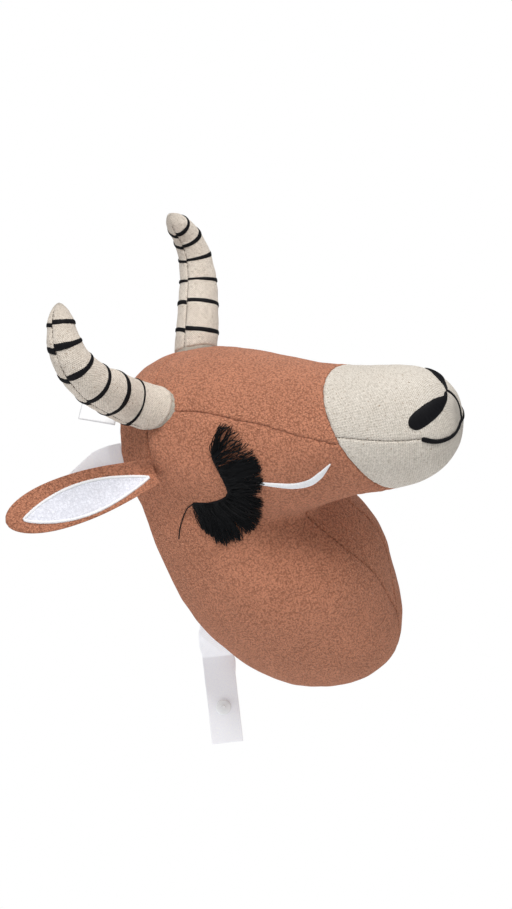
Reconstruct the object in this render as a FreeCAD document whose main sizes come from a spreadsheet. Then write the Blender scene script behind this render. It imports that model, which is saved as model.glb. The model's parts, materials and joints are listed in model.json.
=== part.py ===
import FreeCAD, Part
import math
import os

from FreeCAD import Placement, Rotation, Vector

# Stuffed felt antelope head for a wall. The origin is the centre of the flat back, +X is the
# animal's left, -Y is forward (away from the wall) and +Z is up. "Reach" is distance forward.
# All sizes are in millimetres.

DRIVING = {
    "felt_skin": 2.0,            # thickness of every sewn cover panel
    "board_thickness": 3.0,      # stiff board behind the back panel
    "stitch_height": 0.8,        # how far embroidery stands off the cover
    "fringe_height": 3.0,        # how far the eyelash threads stand off the cover
    "workspace": 700.0,          # edge of the large cutting blocks
    "crown_rear_width": 48.5,    # half width of the crown panel at its rear
    "crown_front_width": 43.5,   # half width of the crown panel at its front
    "crown_rear_reach": 25.0,
    "crown_front_reach": 190.0,
    "nape_reach": 31.0,          # seam between the nape panel and the panels in front of it
    "nape_bottom": 84.0,         # height at which the nape panel ends, under the ears
    "muzzle_reach": 158.5,       # reach of the muzzle seam at the top of the head
    "muzzle_slant": 20.5,        # lean of the muzzle seam plane, forward at the bottom, degrees
    "muzzle_top_height": 111.0,  # height at which muzzle_reach is measured
    "mouth_seam_height": 86.0,   # height of the seam between upper and lower muzzle at its rear
    "mouth_seam_fall": 12.9,     # fall of that seam towards the nose, degrees
    "throat_half_width": 23.0,   # half width of the throat gusset under the jaw
    "throat_top": 45.0,          # height of the gusset's upper edge
    "throat_bend": -28.0,        # height where the gusset starts to narrow
    "throat_point": -108.0,      # height of the gusset's lower point
    "throat_rear": 75.0,         # reach at which the gusset ends under the neck
    "horn_core_share": 0.93,     # radius of a horn's filling as a share of the horn's radius
    "horn_reach": 28.5,          # reach of the plane that holds a horn's centre line
    "stripe_radius": 1.4,        # half width of an embroidered horn stripe
    "ear_length": 107.0,
    "ear_width": 37.0,
    "ear_layer": 2.0,
    "ear_root_gap": 3.2,         # from the hinge line to where the ear layers begin
    "lining_length": 92.0,
    "lining_width": 25.0,
    "lining_thickness": 1.0,
    "lining_start": 6.0,
    "border_width": 1.6,         # satin stitch round the ear lining
    "tape_width": 27.0,
    "tape_thickness": 1.2,
    "lower_tape_length": 75.0,
    "upper_tape_length": 54.0,
    "snap_inset": 31.0,          # centre of a press stud from the tape's free end
    "snap_radius": 6.5,
    "snap_disc": 1.4,
    "snap_bevel": 0.9,           # how much narrower a snap disc's outer face is than its rim
    "snap_edge": 0.5,            # height of that bevel
    "snap_collar": 1.6,          # wall of the socket's collar
    "snap_post_radius": 2.0,
    "snap_post_height": 2.4,
    "snap_bore_radius": 2.1,
    "snap_shank_radius": 1.5,
    "snap_hole_radius": 1.6,
    "label_length": 28.0,
    "label_width": 24.0,
    "label_thickness": 0.5,
    "lash_radius": 26.0,         # arc of the sewn edge of an eyelash
    "lash_tape_width": 3.0,
    "lash_gap": 0.4,
    "fringe_radius": 43.0,       # arc through the loose ends of the threads
}

# Sections of the head: reach, radius and height of the centre.
HEAD_SECTIONS = (
    (0, 65, 71), (30, 70.5, 71), (70, 68.5, 70), (116, 58, 66.5), (150, 49.5, 65),
    (190, 44.5, 64), (218, 38, 65), (234, 26.5, 66.5), (242, 8, 67),
)

# Sections of the neck, from the bottom: height, half width, half depth and reach of the centre.
NECK_SECTIONS = (
    (-164, 16, 21, 80), (-156, 36, 45, 77), (-138, 55, 66, 71), (-108, 69, 80, 65),
    (-75, 78, 88, 59), (-40, 81, 93, 52), (0, 78, 82, 38), (40, 72, 73, 30), (75, 60, 62, 28),
)

# Sections of the left horn: distance from the middle plane, height and radius. Sections 1 to 6
# carry the embroidered stripes.
HORN_SECTIONS = (
    (39, 116, 17.2), (56, 138.5, 17), (71.5, 155, 16.2), (84.5, 170, 15), (93, 188, 13.2),
    (93, 204.5, 11.4), (87.5, 217, 9), (82, 224.5, 5.4), (79.5, 228.5, 1.2),
)
STRIPE_COUNT = 6

# Where the two ears grow from and where they point at rest: the right ear stands out and back,
# the left ear has flopped down behind the cheek.
EARS = {
    "right": {"root": (-71.0, -33.0, 84.0), "along": (-0.731, 0.653, 0.170), "faces": (-0.70, -0.52, 0.49)},
    "left": {"root": (71.0, -33.0, 84.0), "along": (0.500, 0.640, -0.583), "faces": (0.78, -0.60, 0.10)},
}

# The tapes leave the seam of the back, twist, and then run straight. "seam" is the sewn end,
# "start" the start of the straight length, "along" its direction and "across" its width.
TAPES = {
    "lower": {
        "seam": (-57.3, -0.2, -80.4), "seam_along": (-0.521, 0.830, -0.198), "seam_across": (0.355, 0, -0.935),
        "start": (-39.6, 14.7, -121.8), "along": (-0.520, -0.033, -0.854), "across": (0.43, -0.87, -0.23),
    },
    "upper": {
        "seam": (-61.8, -0.2, 94.0), "seam_along": (-0.516, 0.830, 0.192), "seam_across": (0.349, 0, 0.938),
        "start": (-66.0, 12.0, 94.0), "along": (-0.757, 0.596, -0.268), "across": (0.151, 0.554, 0.805),
    },
}
TAPE_ROOT_STEPS = 3

# Where the care label leaves the seam of the back, and the direction of its length and width.
LABEL = {"seam": (-38.7, 0.3, 124.8), "along": (-0.255, 0.847, 0.465), "across": (0.812, 0.0, 0.584)}

# Outlines of the embroidery: (x, height) on the muzzle seen from the front, and (-reach, height)
# on the cheeks. A crescent has two ends and the middle points of its two arcs.
NOSTRIL = {"ends": ((-2.5, 86.8), (-34.3, 80.5)), "middles": ((-21.0, 89.8), (-20.0, 79.6))}
CHEEK_STRIPE = {"ends": ((-98.0, 67.0), (-161.0, 66.5)), "middles": ((-134.0, 56.5), (-134.0, 49.8))}
MOUTH = {"corner": (34.5, 71.0), "middle": 57.0, "width": 2.5}
PHILTRUM = {"half_width": 1.0, "bottom": 63.0, "top": 84.0}

# The eyelash arcs: centres as (-reach, height), ends as angles from straight ahead, in degrees.
LASH_CENTRE = (-60.0, 78.0)
LASH_ANGLES = (38.0, -112.0)
FRINGE_CENTRE = (-67.0, 64.0)
FRINGE_ANGLES = (58.0, -127.0)

doc = FreeCAD.newDocument("FeltHead")


def fill_sheet():
    """Write every driving dimension and section into the spreadsheet, one aliased cell each."""
    table = doc.addObject("Spreadsheet::Sheet", "Parameters")
    entries = dict(DRIVING)
    for index, (reach, radius, height) in enumerate(HEAD_SECTIONS):
        entries.update({f"head_reach_{index}": reach, f"head_radius_{index}": radius,
                        f"head_height_{index}": height})
    for index, (height, half_width, half_depth, reach) in enumerate(NECK_SECTIONS):
        entries.update({f"neck_height_{index}": height, f"neck_width_{index}": half_width,
                        f"neck_depth_{index}": half_depth, f"neck_reach_{index}": reach})
    for index, (offset, height, radius) in enumerate(HORN_SECTIONS):
        entries.update({f"horn_offset_{index}": offset, f"horn_height_{index}": height,
                        f"horn_radius_{index}": radius})
    for row, (alias, value) in enumerate(entries.items(), start=1):
        table.set(f"A{row}", alias.replace("_", " "))
        table.set(f"B{row}", str(value))
        table.setAlias(f"B{row}", alias)
    doc.recompute()
    return table


sheet = fill_sheet()


def size(alias):
    """The number in the sheet's cell with this alias."""
    return float(sheet.get(alias))


def bind(item, **expressions):
    """Bind properties to the sheet. A name such as Base_y stands for Placement.Base.y, and
    <alias> in an expression for that cell of the sheet."""
    for name, expression in expressions.items():
        target = "Placement.Base." + name[-1] if name.startswith("Base_") else name
        item.setExpression(target, expression.replace("<", "Parameters.").replace(">", ""))


def add(kind, name):
    """Add a document object with its label equal to its name."""
    item = doc.addObject(kind, name)
    item.Label = name
    return item


def cut(name, base, tool):
    item = add("Part::Cut", name)
    item.Base = base
    item.Tool = tool
    return item


def common(name, first, second):
    item = add("Part::Common", name)
    item.Base = first
    item.Tool = second
    return item


def mirror(name, source):
    """The same piece on the other side of the middle plane."""
    item = add("Part::Mirroring", name)
    item.Source = source
    item.Base = Vector(0, 0, 0)
    item.Normal = Vector(1, 0, 0)
    return item


def loft(name, sections):
    item = add("Part::Loft", name)
    item.Sections = sections
    item.Solid = True
    item.Ruled = False
    return item


def block(name, **base):
    """A large cutting block; its corner's coordinates are given as expressions x, y and z."""
    item = add("Part::Box", name)
    bind(item, Length="<workspace>", Width="<workspace>", Height="<workspace>")
    bind(item, **{"Base_" + axis: expression for axis, expression in base.items()})
    return item


def frame_towards(origin, along, across):
    """A placement whose x axis is along, y axis is near across, and origin is origin."""
    x_axis = Vector(*along).normalize()
    z_axis = x_axis.cross(Vector(*across)).normalize()
    y_axis = z_axis.cross(x_axis)
    matrix = FreeCAD.Matrix(x_axis.x, y_axis.x, z_axis.x, 0, x_axis.y, y_axis.y, z_axis.y, 0,
                            x_axis.z, y_axis.z, z_axis.z, 0, 0, 0, 0, 1)
    return Placement(Vector(*origin), Placement(matrix).Rotation)


def outline_sketch(name, edges, placement):
    """A closed sketch from point lists: two points make a line, three an arc."""
    sketch = add("Sketcher::SketchObject", name)
    sketch.Placement = placement
    for points in edges:
        vectors = [Vector(*point, 0) for point in points]
        if len(vectors) == 2:
            sketch.addGeometry(Part.LineSegment(*vectors), False)
        else:
            sketch.addGeometry(Part.Arc(*vectors), False)
    return sketch


def prism(name, outline, direction, length):
    """A closed outline drawn out along a direction; length is an expression."""
    item = add("Part::Extrusion", name)
    item.Base = outline
    item.DirMode = "Custom"
    item.Dir = direction
    item.Solid = True
    bind(item, LengthFwd=length)
    return item


# ---------------------------------------------------------------- the stuffed form

def head_form(name, growth):
    """Loft through the head's round sections, grown outwards by an expression."""
    sections = []
    for index in range(len(HEAD_SECTIONS)):
        ring = add("Part::Circle", f"{name}_ring_{index}")
        ring.Placement = Placement(Vector(0, 0, 0), Rotation(Vector(1, 0, 0), 90))
        is_nose = index == len(HEAD_SECTIONS) - 1
        reach = f"-<head_reach_{index}>" + (f" - ({growth})" if is_nose else "")
        bind(ring, Radius=f"<head_radius_{index}> + {growth}", Base_y=reach,
             Base_z=f"<head_height_{index}>")
        sections.append(ring)
    return loft(name, sections)


def neck_form(name, growth):
    """Loft through the neck's oval sections, grown outwards by an expression."""
    sections = []
    for index in range(len(NECK_SECTIONS)):
        ring = add("Part::Ellipse", f"{name}_ring_{index}")
        ring.Placement = Placement(Vector(0, 0, 0), Rotation(Vector(0, 0, 1), 90))
        height = f"<neck_height_{index}>" + (f" - ({growth})" if index == 0 else "")
        bind(ring, MajorRadius=f"<neck_depth_{index}> + {growth}", Base_z=height,
             MinorRadius=f"<neck_width_{index}> + {growth}", Base_y=f"-<neck_reach_{index}>")
        sections.append(ring)
    return loft(name, sections)


def stuffed_form(name, growth):
    """Head and neck as one solid, cut off flat at the wall, y = 0."""
    both = add("Part::Fuse", name + "_whole")
    both.Base = head_form(name + "_head", growth)
    both.Tool = neck_form(name + "_neck", growth)
    front = block(name + "_front", x="-<workspace> / 2", y="-<workspace>", z="-<workspace> / 2")
    return common(name, both, front)


outer = stuffed_form("outer", "0")
inner = stuffed_form("inner", "(-<felt_skin>)")
stitched = stuffed_form("stitched", "<stitch_height>")
fringed = stuffed_form("fringed", "<fringe_height>")

# ---------------------------------------------------------------- cover panels


def turned_block(name, angle, reach, height, corner):
    """A cutting block turned about the x axis, with its own point corner at the given place."""
    item = add("Part::Box", name)
    bind(item, Length="<workspace>", Width="<workspace>", Height="<workspace>")
    turn = Rotation(Vector(1, 0, 0), angle)
    shift = turn.multVec(corner)
    base = Vector(-size("workspace") / 2, -reach - shift.y, height - shift.z)
    item.Placement = Placement(base, turn)
    return item


def throat_prism():
    """The outline of the throat gusset seen from the front, drawn forward."""
    width, top, bend, point = (size(alias) for alias in
                               ("throat_half_width", "throat_top", "throat_bend", "throat_point"))
    corners = ((-width, top), (width, top), (width, bend), (0, point), (-width, bend))
    sketch = outline_sketch("throat_outline", list(zip(corners, corners[1:] + corners[:1])),
                            Placement(Vector(0, -size("throat_rear"), 0), Rotation(Vector(1, 0, 0), 90)))
    return prism("throat_prism", sketch, Vector(0, -1, 0), "<workspace>")


def crown_prism():
    """The tapered outline of the crown panel seen from above, drawn upwards."""
    rear, front = size("crown_rear_width"), size("crown_front_width")
    rear_y, front_y = -size("crown_rear_reach"), -size("crown_front_reach")
    corners = ((-rear, rear_y), (rear, rear_y), (front, front_y), (-front, front_y))
    sketch = outline_sketch("crown_outline", list(zip(corners, corners[1:] + corners[:1])),
                            Placement(Vector(0, 0, size("head_height_2")), Rotation()))
    return prism("crown_prism", sketch, Vector(0, 0, 1), "<workspace>")


def cover_panels():
    """Divide the skin between outer and inner form at the seams."""
    skin = cut("skin", outer, inner)
    edge = size("workspace")
    muzzle_side = turned_block("muzzle_side", -size("muzzle_slant"), size("muzzle_reach"),
                               size("muzzle_top_height"), Vector(0, edge, edge / 2))
    upper_side = turned_block("upper_side", size("mouth_seam_fall"), size("muzzle_reach"),
                              size("mouth_seam_height"), Vector(0, edge / 2, 0))
    muzzle = common("muzzle_skin", skin, muzzle_side)
    felt = cut("felt_skin_all", skin, muzzle_side)
    panels = [common("muzzle_top", muzzle, upper_side), cut("muzzle_bottom", muzzle, upper_side)]

    behind_horns = block("behind_horns", x="-<workspace> / 2", y="-<nape_reach>", z="<nape_bottom>")
    panels.append(common("nape_panel", felt, behind_horns))
    front_felt = cut("front_felt", felt, behind_horns)

    crown = crown_prism()
    panels.append(common("crown_panel", front_felt, crown))
    sides = cut("sides", front_felt, crown)

    throat = throat_prism()
    panels.append(common("throat_gusset", sides, throat))
    cheeks = cut("cheeks", sides, throat)
    right_half = block("right_half", x="-<workspace>", y="-<workspace> / 2", z="-<workspace> / 2")
    panels.append(common("right_cheek_panel", cheeks, right_half))
    panels.append(cut("left_cheek_panel", cheeks, right_half))
    return panels


def slab(name, start, thickness):
    """A flat block parallel to the wall, from reach start inwards."""
    item = block(name, x="-<workspace> / 2", y=f"-({start}) - ({thickness})", z="-<workspace> / 2")
    bind(item, Width=thickness)
    return item


def back_and_filling():
    """The felt back, the board behind it and the fibre filling in front of both."""
    back = common("back_panel", inner, slab("back_slab", "0", "<felt_skin>"))
    board = common("stiffener_board", inner, slab("board_slab", "<felt_skin>", "<board_thickness>"))
    depth = "<felt_skin> + <board_thickness>"
    filling = cut("fibre_filling", inner, slab("filling_slab", "0", depth))
    return [back, board, filling]


# ---------------------------------------------------------------- embroidery and lashes

def raised_patch(name, edges, direction, low, high):
    """A thin patch that follows the cover: an outline drawn along direction between two forms."""
    sideways = direction.x != 0
    turn = Rotation(Vector(1, 1, 1), 120) if sideways else Rotation(Vector(1, 0, 0), 90)
    sketch = outline_sketch(name + "_outline", edges, Placement(Vector(0, 0, 0), turn))
    drawn = prism(name + "_prism", sketch, direction, "<workspace>")
    return cut(name, common(name + "_block", drawn, high), low)


def crescent(start, end, shallow, deep):
    """Two arcs that share their ends; shallow and deep are their middle points."""
    return [(start, shallow, end), (end, deep, start)]


def embroidery():
    """Nostrils, the line below them, the mouth and the white cheek stripes."""
    forward = Vector(0, -1, 0)
    to_right = Vector(-1, 0, 0)
    nostril = crescent(*NOSTRIL["ends"], *NOSTRIL["middles"])
    stripe = crescent(*CHEEK_STRIPE["ends"], *CHEEK_STRIPE["middles"])
    half, bottom, top = (PHILTRUM[key] for key in ("half_width", "bottom", "top"))
    corners = ((-half, bottom), (half, bottom), (half, top), (-half, top))
    line = list(zip(corners, corners[1:] + corners[:1]))
    side, low = MOUTH["corner"]
    middle, high = MOUTH["middle"], low + MOUTH["width"]
    mouth = [((-side, low), (0, middle), (side, low)), ((side, low), (side, high)),
             ((side, high), (0, middle + MOUTH["width"]), (-side, high)), ((-side, high), (-side, low))]
    right_nostril = raised_patch("right_nostril", nostril, forward, outer, stitched)
    right_stripe = raised_patch("right_cheek_stripe", stripe, to_right, outer, stitched)
    return [
        right_nostril, mirror("left_nostril", right_nostril),
        raised_patch("philtrum_line", line, forward, outer, stitched),
        raised_patch("mouth_line", mouth, forward, outer, stitched),
        right_stripe, mirror("left_cheek_stripe", right_stripe),
    ]


def arc_points(centre, radius, start, end):
    """Three points on an arc of the given centre and radius, angles in degrees from forward."""
    points = []
    for angle in (start, (start + end) / 2, end):
        turn = math.radians(angle)
        points.append((centre[0] - radius * math.cos(turn), centre[1] + radius * math.sin(turn)))
    return tuple(points)


def eyelashes():
    """A sewn band and a free fringe on each cheek."""
    to_right = Vector(-1, 0, 0)
    radius = size("lash_radius")
    band_inner = arc_points(LASH_CENTRE, radius - size("lash_tape_width"), *LASH_ANGLES)
    band_outer = arc_points(LASH_CENTRE, radius, *LASH_ANGLES)
    fringe_inner = arc_points(LASH_CENTRE, radius + size("lash_gap"), *LASH_ANGLES)
    fringe_outer = arc_points(FRINGE_CENTRE, size("fringe_radius"), *FRINGE_ANGLES)
    pieces = []
    for part, near, far, low, high in (
            ("lash_band", band_inner, band_outer, outer, stitched),
            ("lash_fringe", fringe_inner, fringe_outer, stitched, fringed)):
        edges = [near, (near[2], far[2]), tuple(reversed(far)), (far[0], near[0])]
        right = raised_patch("right_" + part, edges, to_right, low, high)
        pieces += [right, mirror("left_" + part, right)]
    return pieces


# ---------------------------------------------------------------- horns

def horn_point(index):
    """A point of the left horn's centre line, in its plane parallel to the wall."""
    return Vector(size(f"horn_offset_{index}"), -size("horn_reach"), size(f"horn_height_{index}"))


def horn_placement(index):
    """A placement at a horn section with its z axis along the centre line."""
    last = len(HORN_SECTIONS) - 1
    ahead = horn_point(min(index + 1, last))
    behind = horn_point(max(index - 1, 0))
    tangent = ahead.sub(behind).normalize()
    return Placement(horn_point(index), Rotation(Vector(0, 0, 1), tangent))


def horn_form(name, share="1"):
    """Loft through the horn's sections, their radii multiplied by an expression."""
    sections = []
    for index in range(len(HORN_SECTIONS)):
        ring = add("Part::Circle", f"{name}_ring_{index}")
        ring.Placement = horn_placement(index)
        bind(ring, Radius=f"<horn_radius_{index}> * {share}")
        sections.append(ring)
    return loft(name, sections)


def horns():
    """Each horn: a front and a back half of linen, its filling and six raised stripes."""
    solid = cut("horn_solid", horn_form("horn_outer_form"), outer)
    core_form = horn_form("horn_core_form", "<horn_core_share>")
    core = cut("left_horn_filling", core_form, outer)
    linen = cut("horn_linen", solid, core_form)
    front_side = block("horn_front_side", x="-<workspace> / 2", y="-<horn_reach> - <workspace>", z="0")
    trim = horn_form("horn_trim_form")
    stripes = []
    for index in range(1, STRIPE_COUNT + 1):
        ring = add("Part::Torus", f"horn_ring_{index}")
        ring.Placement = horn_placement(index)
        bind(ring, Radius1=f"<horn_radius_{index}>", Radius2="<stripe_radius>")
        stripes.append(cut(f"horn_stripe_{index}", ring, trim))
    hoops = add("Part::Compound", "left_horn_stripes")
    hoops.Links = stripes
    left = [
        common("left_horn_front", linen, front_side),
        cut("left_horn_back", linen, front_side),
        core,
        hoops,
    ]
    return left + [mirror(piece.Label.replace("left", "right"), piece) for piece in left]


# ---------------------------------------------------------------- ears

def oval_prism(name, placement, length, width, start, thickness):
    """An oval plate whose long axis starts at the given distance from the ear's hinge line."""
    oval = add("Part::Ellipse", name + "_outline")
    bind(oval, MajorRadius=f"({length}) / 2", MinorRadius=f"({width}) / 2")
    plate = prism(name, oval, Vector(0, 0, 1), thickness)
    plate.Placement = placement.multiply(Placement(Vector(start, 0, 0), Rotation()))
    return plate


def lens_prism(name, placement, length, width, start, thickness):
    """A leaf-shaped plate, pointed at both ends, from two arcs."""
    edges = crescent((0, 0), (length, 0), (length / 2, width / 2), (length / 2, -width / 2))
    plate = prism(name, outline_sketch(name + "_outline", edges, Placement()), Vector(0, 0, 1), thickness)
    plate.Placement = placement.multiply(Placement(Vector(start, 0, 0), Rotation()))
    return plate


def ear(side):
    """Two felt layers, a white lining on the front layer and its stitched border."""
    pose = EARS[side]
    faces = Vector(*pose["faces"])
    along = Vector(*pose["along"])
    across = faces.cross(along)
    hinge = frame_towards(pose["root"], along, across)
    layer = size("ear_layer")
    centre = size("ear_root_gap") + size("ear_length") / 2
    lining_level = layer
    pieces = []
    for name, level in (("back", -layer), ("front", 0.0)):
        at = hinge.multiply(Placement(Vector(0, 0, level), Rotation()))
        pieces.append(oval_prism(f"{side}_ear_{name}", at, "<ear_length>", "<ear_width>", centre, "<ear_layer>"))
    at = hinge.multiply(Placement(Vector(0, 0, lining_level), Rotation()))
    border = size("border_width")
    length, width, start = size("lining_length"), size("lining_width"), size("lining_start")
    pieces.append(lens_prism(f"{side}_ear_lining", at, length, width, start, "<lining_thickness>"))
    wide = lens_prism(f"{side}_border_outer", at, length + 4 * border, width + 2 * border,
                      start - 2 * border, "<lining_thickness>")
    pieces.append(cut(f"{side}_ear_border", wide, pieces[-1]))
    return pieces


# ---------------------------------------------------------------- tapes and press stud

def tape_section(name, placement):
    """The tape's rectangle, centred, with its width along local y and thickness along local z."""
    half_width = size("tape_width") / 2
    half_depth = size("tape_thickness") / 2
    corners = ((-half_width, -half_depth), (half_width, -half_depth),
               (half_width, half_depth), (-half_width, half_depth))
    edges = list(zip(corners, corners[1:] + corners[:1]))
    return outline_sketch(name, edges, placement.multiply(Placement(Vector(0, 0, 0), Rotation(Vector(1, 1, 1), 120))))


def blend_vectors(first, second, share):
    return Vector(*first).multiply(1 - share).add(Vector(*second).multiply(share))


def tape(side):
    """The tape: a twisted root from the seam, then a straight length with a hole for the snap."""
    path = TAPES[side]
    sections = []
    for step in range(TAPE_ROOT_STEPS + 1):
        share = step / TAPE_ROOT_STEPS
        at = frame_towards(blend_vectors(path["seam"], path["start"], share),
                           blend_vectors(path["seam_along"], path["along"], share),
                           blend_vectors(path["seam_across"], path["across"], share))
        sections.append(tape_section(f"{side}_tape_section_{step}", at))
    straight = frame_towards(path["start"], path["along"], path["across"])
    free_end = straight.multiply(Placement(Vector(size(f"{side}_tape_length"), 0, 0), Rotation()))
    sections.append(tape_section(f"{side}_tape_free_end", free_end))
    ribbon = loft(f"{side}_tape_ribbon", sections)
    ribbon.Ruled = True
    hole = add("Part::Cylinder", f"{side}_tape_hole")
    bind(hole, Radius="<snap_hole_radius>", Height="<workspace> / 10")
    middle = Placement(Vector(0, 0, -size("workspace") / 20), Rotation())
    hole.Placement = snap_frame(side).multiply(middle)
    return cut(f"{side}_tape", ribbon, hole)


def snap_frame(side):
    """The press stud's axis on a tape; local z leaves the side that carries the fastening half."""
    path = TAPES[side]
    frame = frame_towards(path["start"], path["along"], path["across"])
    reach = size(f"{side}_tape_length") - size("snap_inset")
    return frame.multiply(Placement(Vector(reach, 0, 0), Rotation()))


def turned_body(name, profile, placement):
    """A PartDesign body revolved about its z axis from a closed profile of (radius, height)."""
    body = add("PartDesign::Body", name)
    sketch = body.newObject("Sketcher::SketchObject", name + "_profile")
    plane = next(item for item in body.Origin.OriginFeatures if item.Role == "XZ_Plane")
    sketch.AttachmentSupport = [(plane, "")]
    sketch.MapMode = "FlatFace"
    for start, end in zip(profile, profile[1:] + profile[:1]):
        sketch.addGeometry(Part.LineSegment(Vector(*start, 0), Vector(*end, 0)), False)
    turn = body.newObject("PartDesign::Revolution", name + "_turned")
    turn.Profile = sketch
    turn.ReferenceAxis = (sketch, ["V_Axis"])
    turn.Angle = 360
    body.Placement = placement
    return body


def press_stud():
    """Both halves of the press stud, each held by a cap through its tape."""
    half = size("tape_thickness") / 2
    disc, radius = size("snap_disc"), size("snap_radius")
    post, height = size("snap_post_radius"), size("snap_post_height")
    bore, shank = size("snap_bore_radius"), size("snap_shank_radius")
    rim = radius - size("snap_bevel")
    edge = size("snap_edge")
    top = half + disc
    stud = [(0, half), (radius, half), (radius, top - edge), (rim, top), (post, top),
            (post, top + height), (0, top + height)]
    socket_top = top + height
    collar = bore + size("snap_collar")
    socket = [(bore, half), (radius, half), (radius, top - edge), (rim, top), (collar, top),
              (collar, socket_top), (bore, socket_top)]
    cap = [(0, -half - disc), (rim, -half - disc), (radius, -half - disc + edge), (radius, -half),
           (shank, -half), (shank, half), (0, half)]
    return [
        turned_body("stud_post", stud, snap_frame("lower")),
        turned_body("stud_cap", cap, snap_frame("lower")),
        turned_body("stud_socket", socket, snap_frame("upper")),
        turned_body("socket_cap", cap, snap_frame("upper")),
    ]


def care_label():
    """A blank folded label sewn into the seam behind the right horn."""
    label = add("Part::Box", "care_label")
    bind(label, Length="<label_length>", Width="<label_width>", Height="<label_thickness>")
    frame = frame_towards(LABEL["seam"], LABEL["along"], LABEL["across"])
    label.Placement = frame.multiply(Placement(Vector(0, -size("label_width") / 2, 0), Rotation()))
    return label


def export(pieces):
    """Check every object, then write one STEP file for each piece."""
    doc.recompute()
    for item in doc.Objects:
        if "Invalid" in item.State or "Error" in item.State:
            raise RuntimeError(f"{item.Label} did not compute: {item.State}")
    os.makedirs("parts", exist_ok=True)
    for piece in pieces:
        shape = piece.Shape
        if shape.isNull() or not shape.isValid() or not shape.Solids:
            raise RuntimeError(f"{piece.Label} has no valid solid")
        shape.exportStep(os.path.join("parts", piece.Label + ".step"))
        print(f"{piece.Label:22s} solids {len(shape.Solids)} volume {shape.Volume:10.1f}")


export(
    cover_panels() + back_and_filling() + embroidery() + eyelashes() + horns()
    + ear("right") + ear("left") + [tape("lower"), tape("upper")] + press_stud() + [care_label()]
)
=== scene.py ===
import json
import math

import bmesh
import bpy
import numpy as np
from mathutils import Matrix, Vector
from mathutils.bvhtree import BVHTree
from mathutils.kdtree import KDTree

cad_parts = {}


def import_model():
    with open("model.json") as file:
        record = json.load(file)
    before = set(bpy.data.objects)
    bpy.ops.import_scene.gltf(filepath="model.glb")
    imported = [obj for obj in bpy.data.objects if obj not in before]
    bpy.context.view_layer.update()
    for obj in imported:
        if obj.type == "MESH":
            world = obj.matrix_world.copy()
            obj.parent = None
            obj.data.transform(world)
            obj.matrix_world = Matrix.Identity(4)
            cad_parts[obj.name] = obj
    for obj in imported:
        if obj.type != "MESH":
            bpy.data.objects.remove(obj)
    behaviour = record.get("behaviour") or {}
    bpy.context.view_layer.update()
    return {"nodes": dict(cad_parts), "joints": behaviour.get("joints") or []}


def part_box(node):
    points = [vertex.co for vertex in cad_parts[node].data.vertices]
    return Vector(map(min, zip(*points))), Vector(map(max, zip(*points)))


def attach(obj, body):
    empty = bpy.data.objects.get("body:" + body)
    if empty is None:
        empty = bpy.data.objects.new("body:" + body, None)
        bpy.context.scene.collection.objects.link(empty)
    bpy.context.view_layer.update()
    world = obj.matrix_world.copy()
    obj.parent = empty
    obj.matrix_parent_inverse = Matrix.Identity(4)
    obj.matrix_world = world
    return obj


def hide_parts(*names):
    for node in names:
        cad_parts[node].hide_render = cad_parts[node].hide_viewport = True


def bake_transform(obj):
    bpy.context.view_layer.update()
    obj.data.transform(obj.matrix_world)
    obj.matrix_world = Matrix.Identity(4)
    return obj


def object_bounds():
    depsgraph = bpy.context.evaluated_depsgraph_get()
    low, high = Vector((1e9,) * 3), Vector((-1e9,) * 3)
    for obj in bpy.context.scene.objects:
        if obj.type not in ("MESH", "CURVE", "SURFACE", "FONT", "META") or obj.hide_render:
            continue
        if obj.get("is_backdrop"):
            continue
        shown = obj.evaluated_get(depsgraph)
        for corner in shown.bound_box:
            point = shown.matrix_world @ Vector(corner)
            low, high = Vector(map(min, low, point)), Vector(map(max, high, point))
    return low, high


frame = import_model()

# Looks of a stuffed felt antelope head. The row frame is in metres: +X is the animal's left, -Y
# is forward and +Z is up. Places and outer sizes come from the CAD nodes; the values below give
# the cloth its seams, threads and folds.

random = np.random.default_rng(11)

MM = 0.001
TURN = 2 * math.pi
SIDES = {"right": -1, "left": 1}
FELT_THICKNESS = 1.5 * MM
LINEN_THICKNESS = 1.0 * MM
SEAM_ROLL = 2.4 * MM          # how far from a seam the cloth starts to turn in
SEAM_DEPTH = 1.3 * MM         # how deep the turned edge lies
THREAD_PITCH = 0.45 * MM      # spacing of satin stitches
THREAD_SAMPLES = 2.5          # points along a band for each of its threads
THREAD_STEP = THREAD_PITCH / THREAD_SAMPLES
THREAD_RIPPLE = 0.13          # how much the threads show in the height of a band
SATIN_JITTER = 0.10 * MM      # unevenness of a satin edge
STITCH_PITCH = 2.6 * MM
STITCH_LENGTH = 1.7 * MM
STITCH_TAPER = np.array([0.5, 1, 1.1, 1, 0.5])   # relative thickness along a seam stitch


def unit(vectors):
    """Each vector divided by its own length."""
    vectors = np.asarray(vectors, float)
    return vectors / np.maximum(np.linalg.norm(vectors, axis=-1, keepdims=True), 1e-12)


def points_of(vertices):
    """The places of mesh vertices, in metres."""
    return np.array([v.co for v in vertices])


def node_points(name):
    return points_of(frame["nodes"][name].data.vertices)


def own_axes(points):
    """The middle of some points and their longest, middle and shortest directions."""
    centre = points.mean(0)
    return centre, np.linalg.svd(points - centre, full_matrices=False)[2]


def joint(name):
    """A joint's place and unit axis."""
    found = next(j for j in frame["joints"] if j["name"] == name)
    return np.array(found["pos_m"]), unit(found["axis"])


def add_object(name, data):
    item = bpy.data.objects.new(name, data)
    bpy.context.scene.collection.objects.link(item)
    return item


def make_object(name, verts, faces):
    """A smooth mesh object with outward normals."""
    mesh = bpy.data.meshes.new(name)
    mesh.from_pydata(np.asarray(verts).tolist(), [], faces)
    shape = bmesh.new()
    shape.from_mesh(mesh)
    bmesh.ops.recalc_face_normals(shape, faces=shape.faces)
    shape.to_mesh(mesh)
    shape.free()
    mesh.shade_smooth()
    return add_object(name, mesh)


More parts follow.
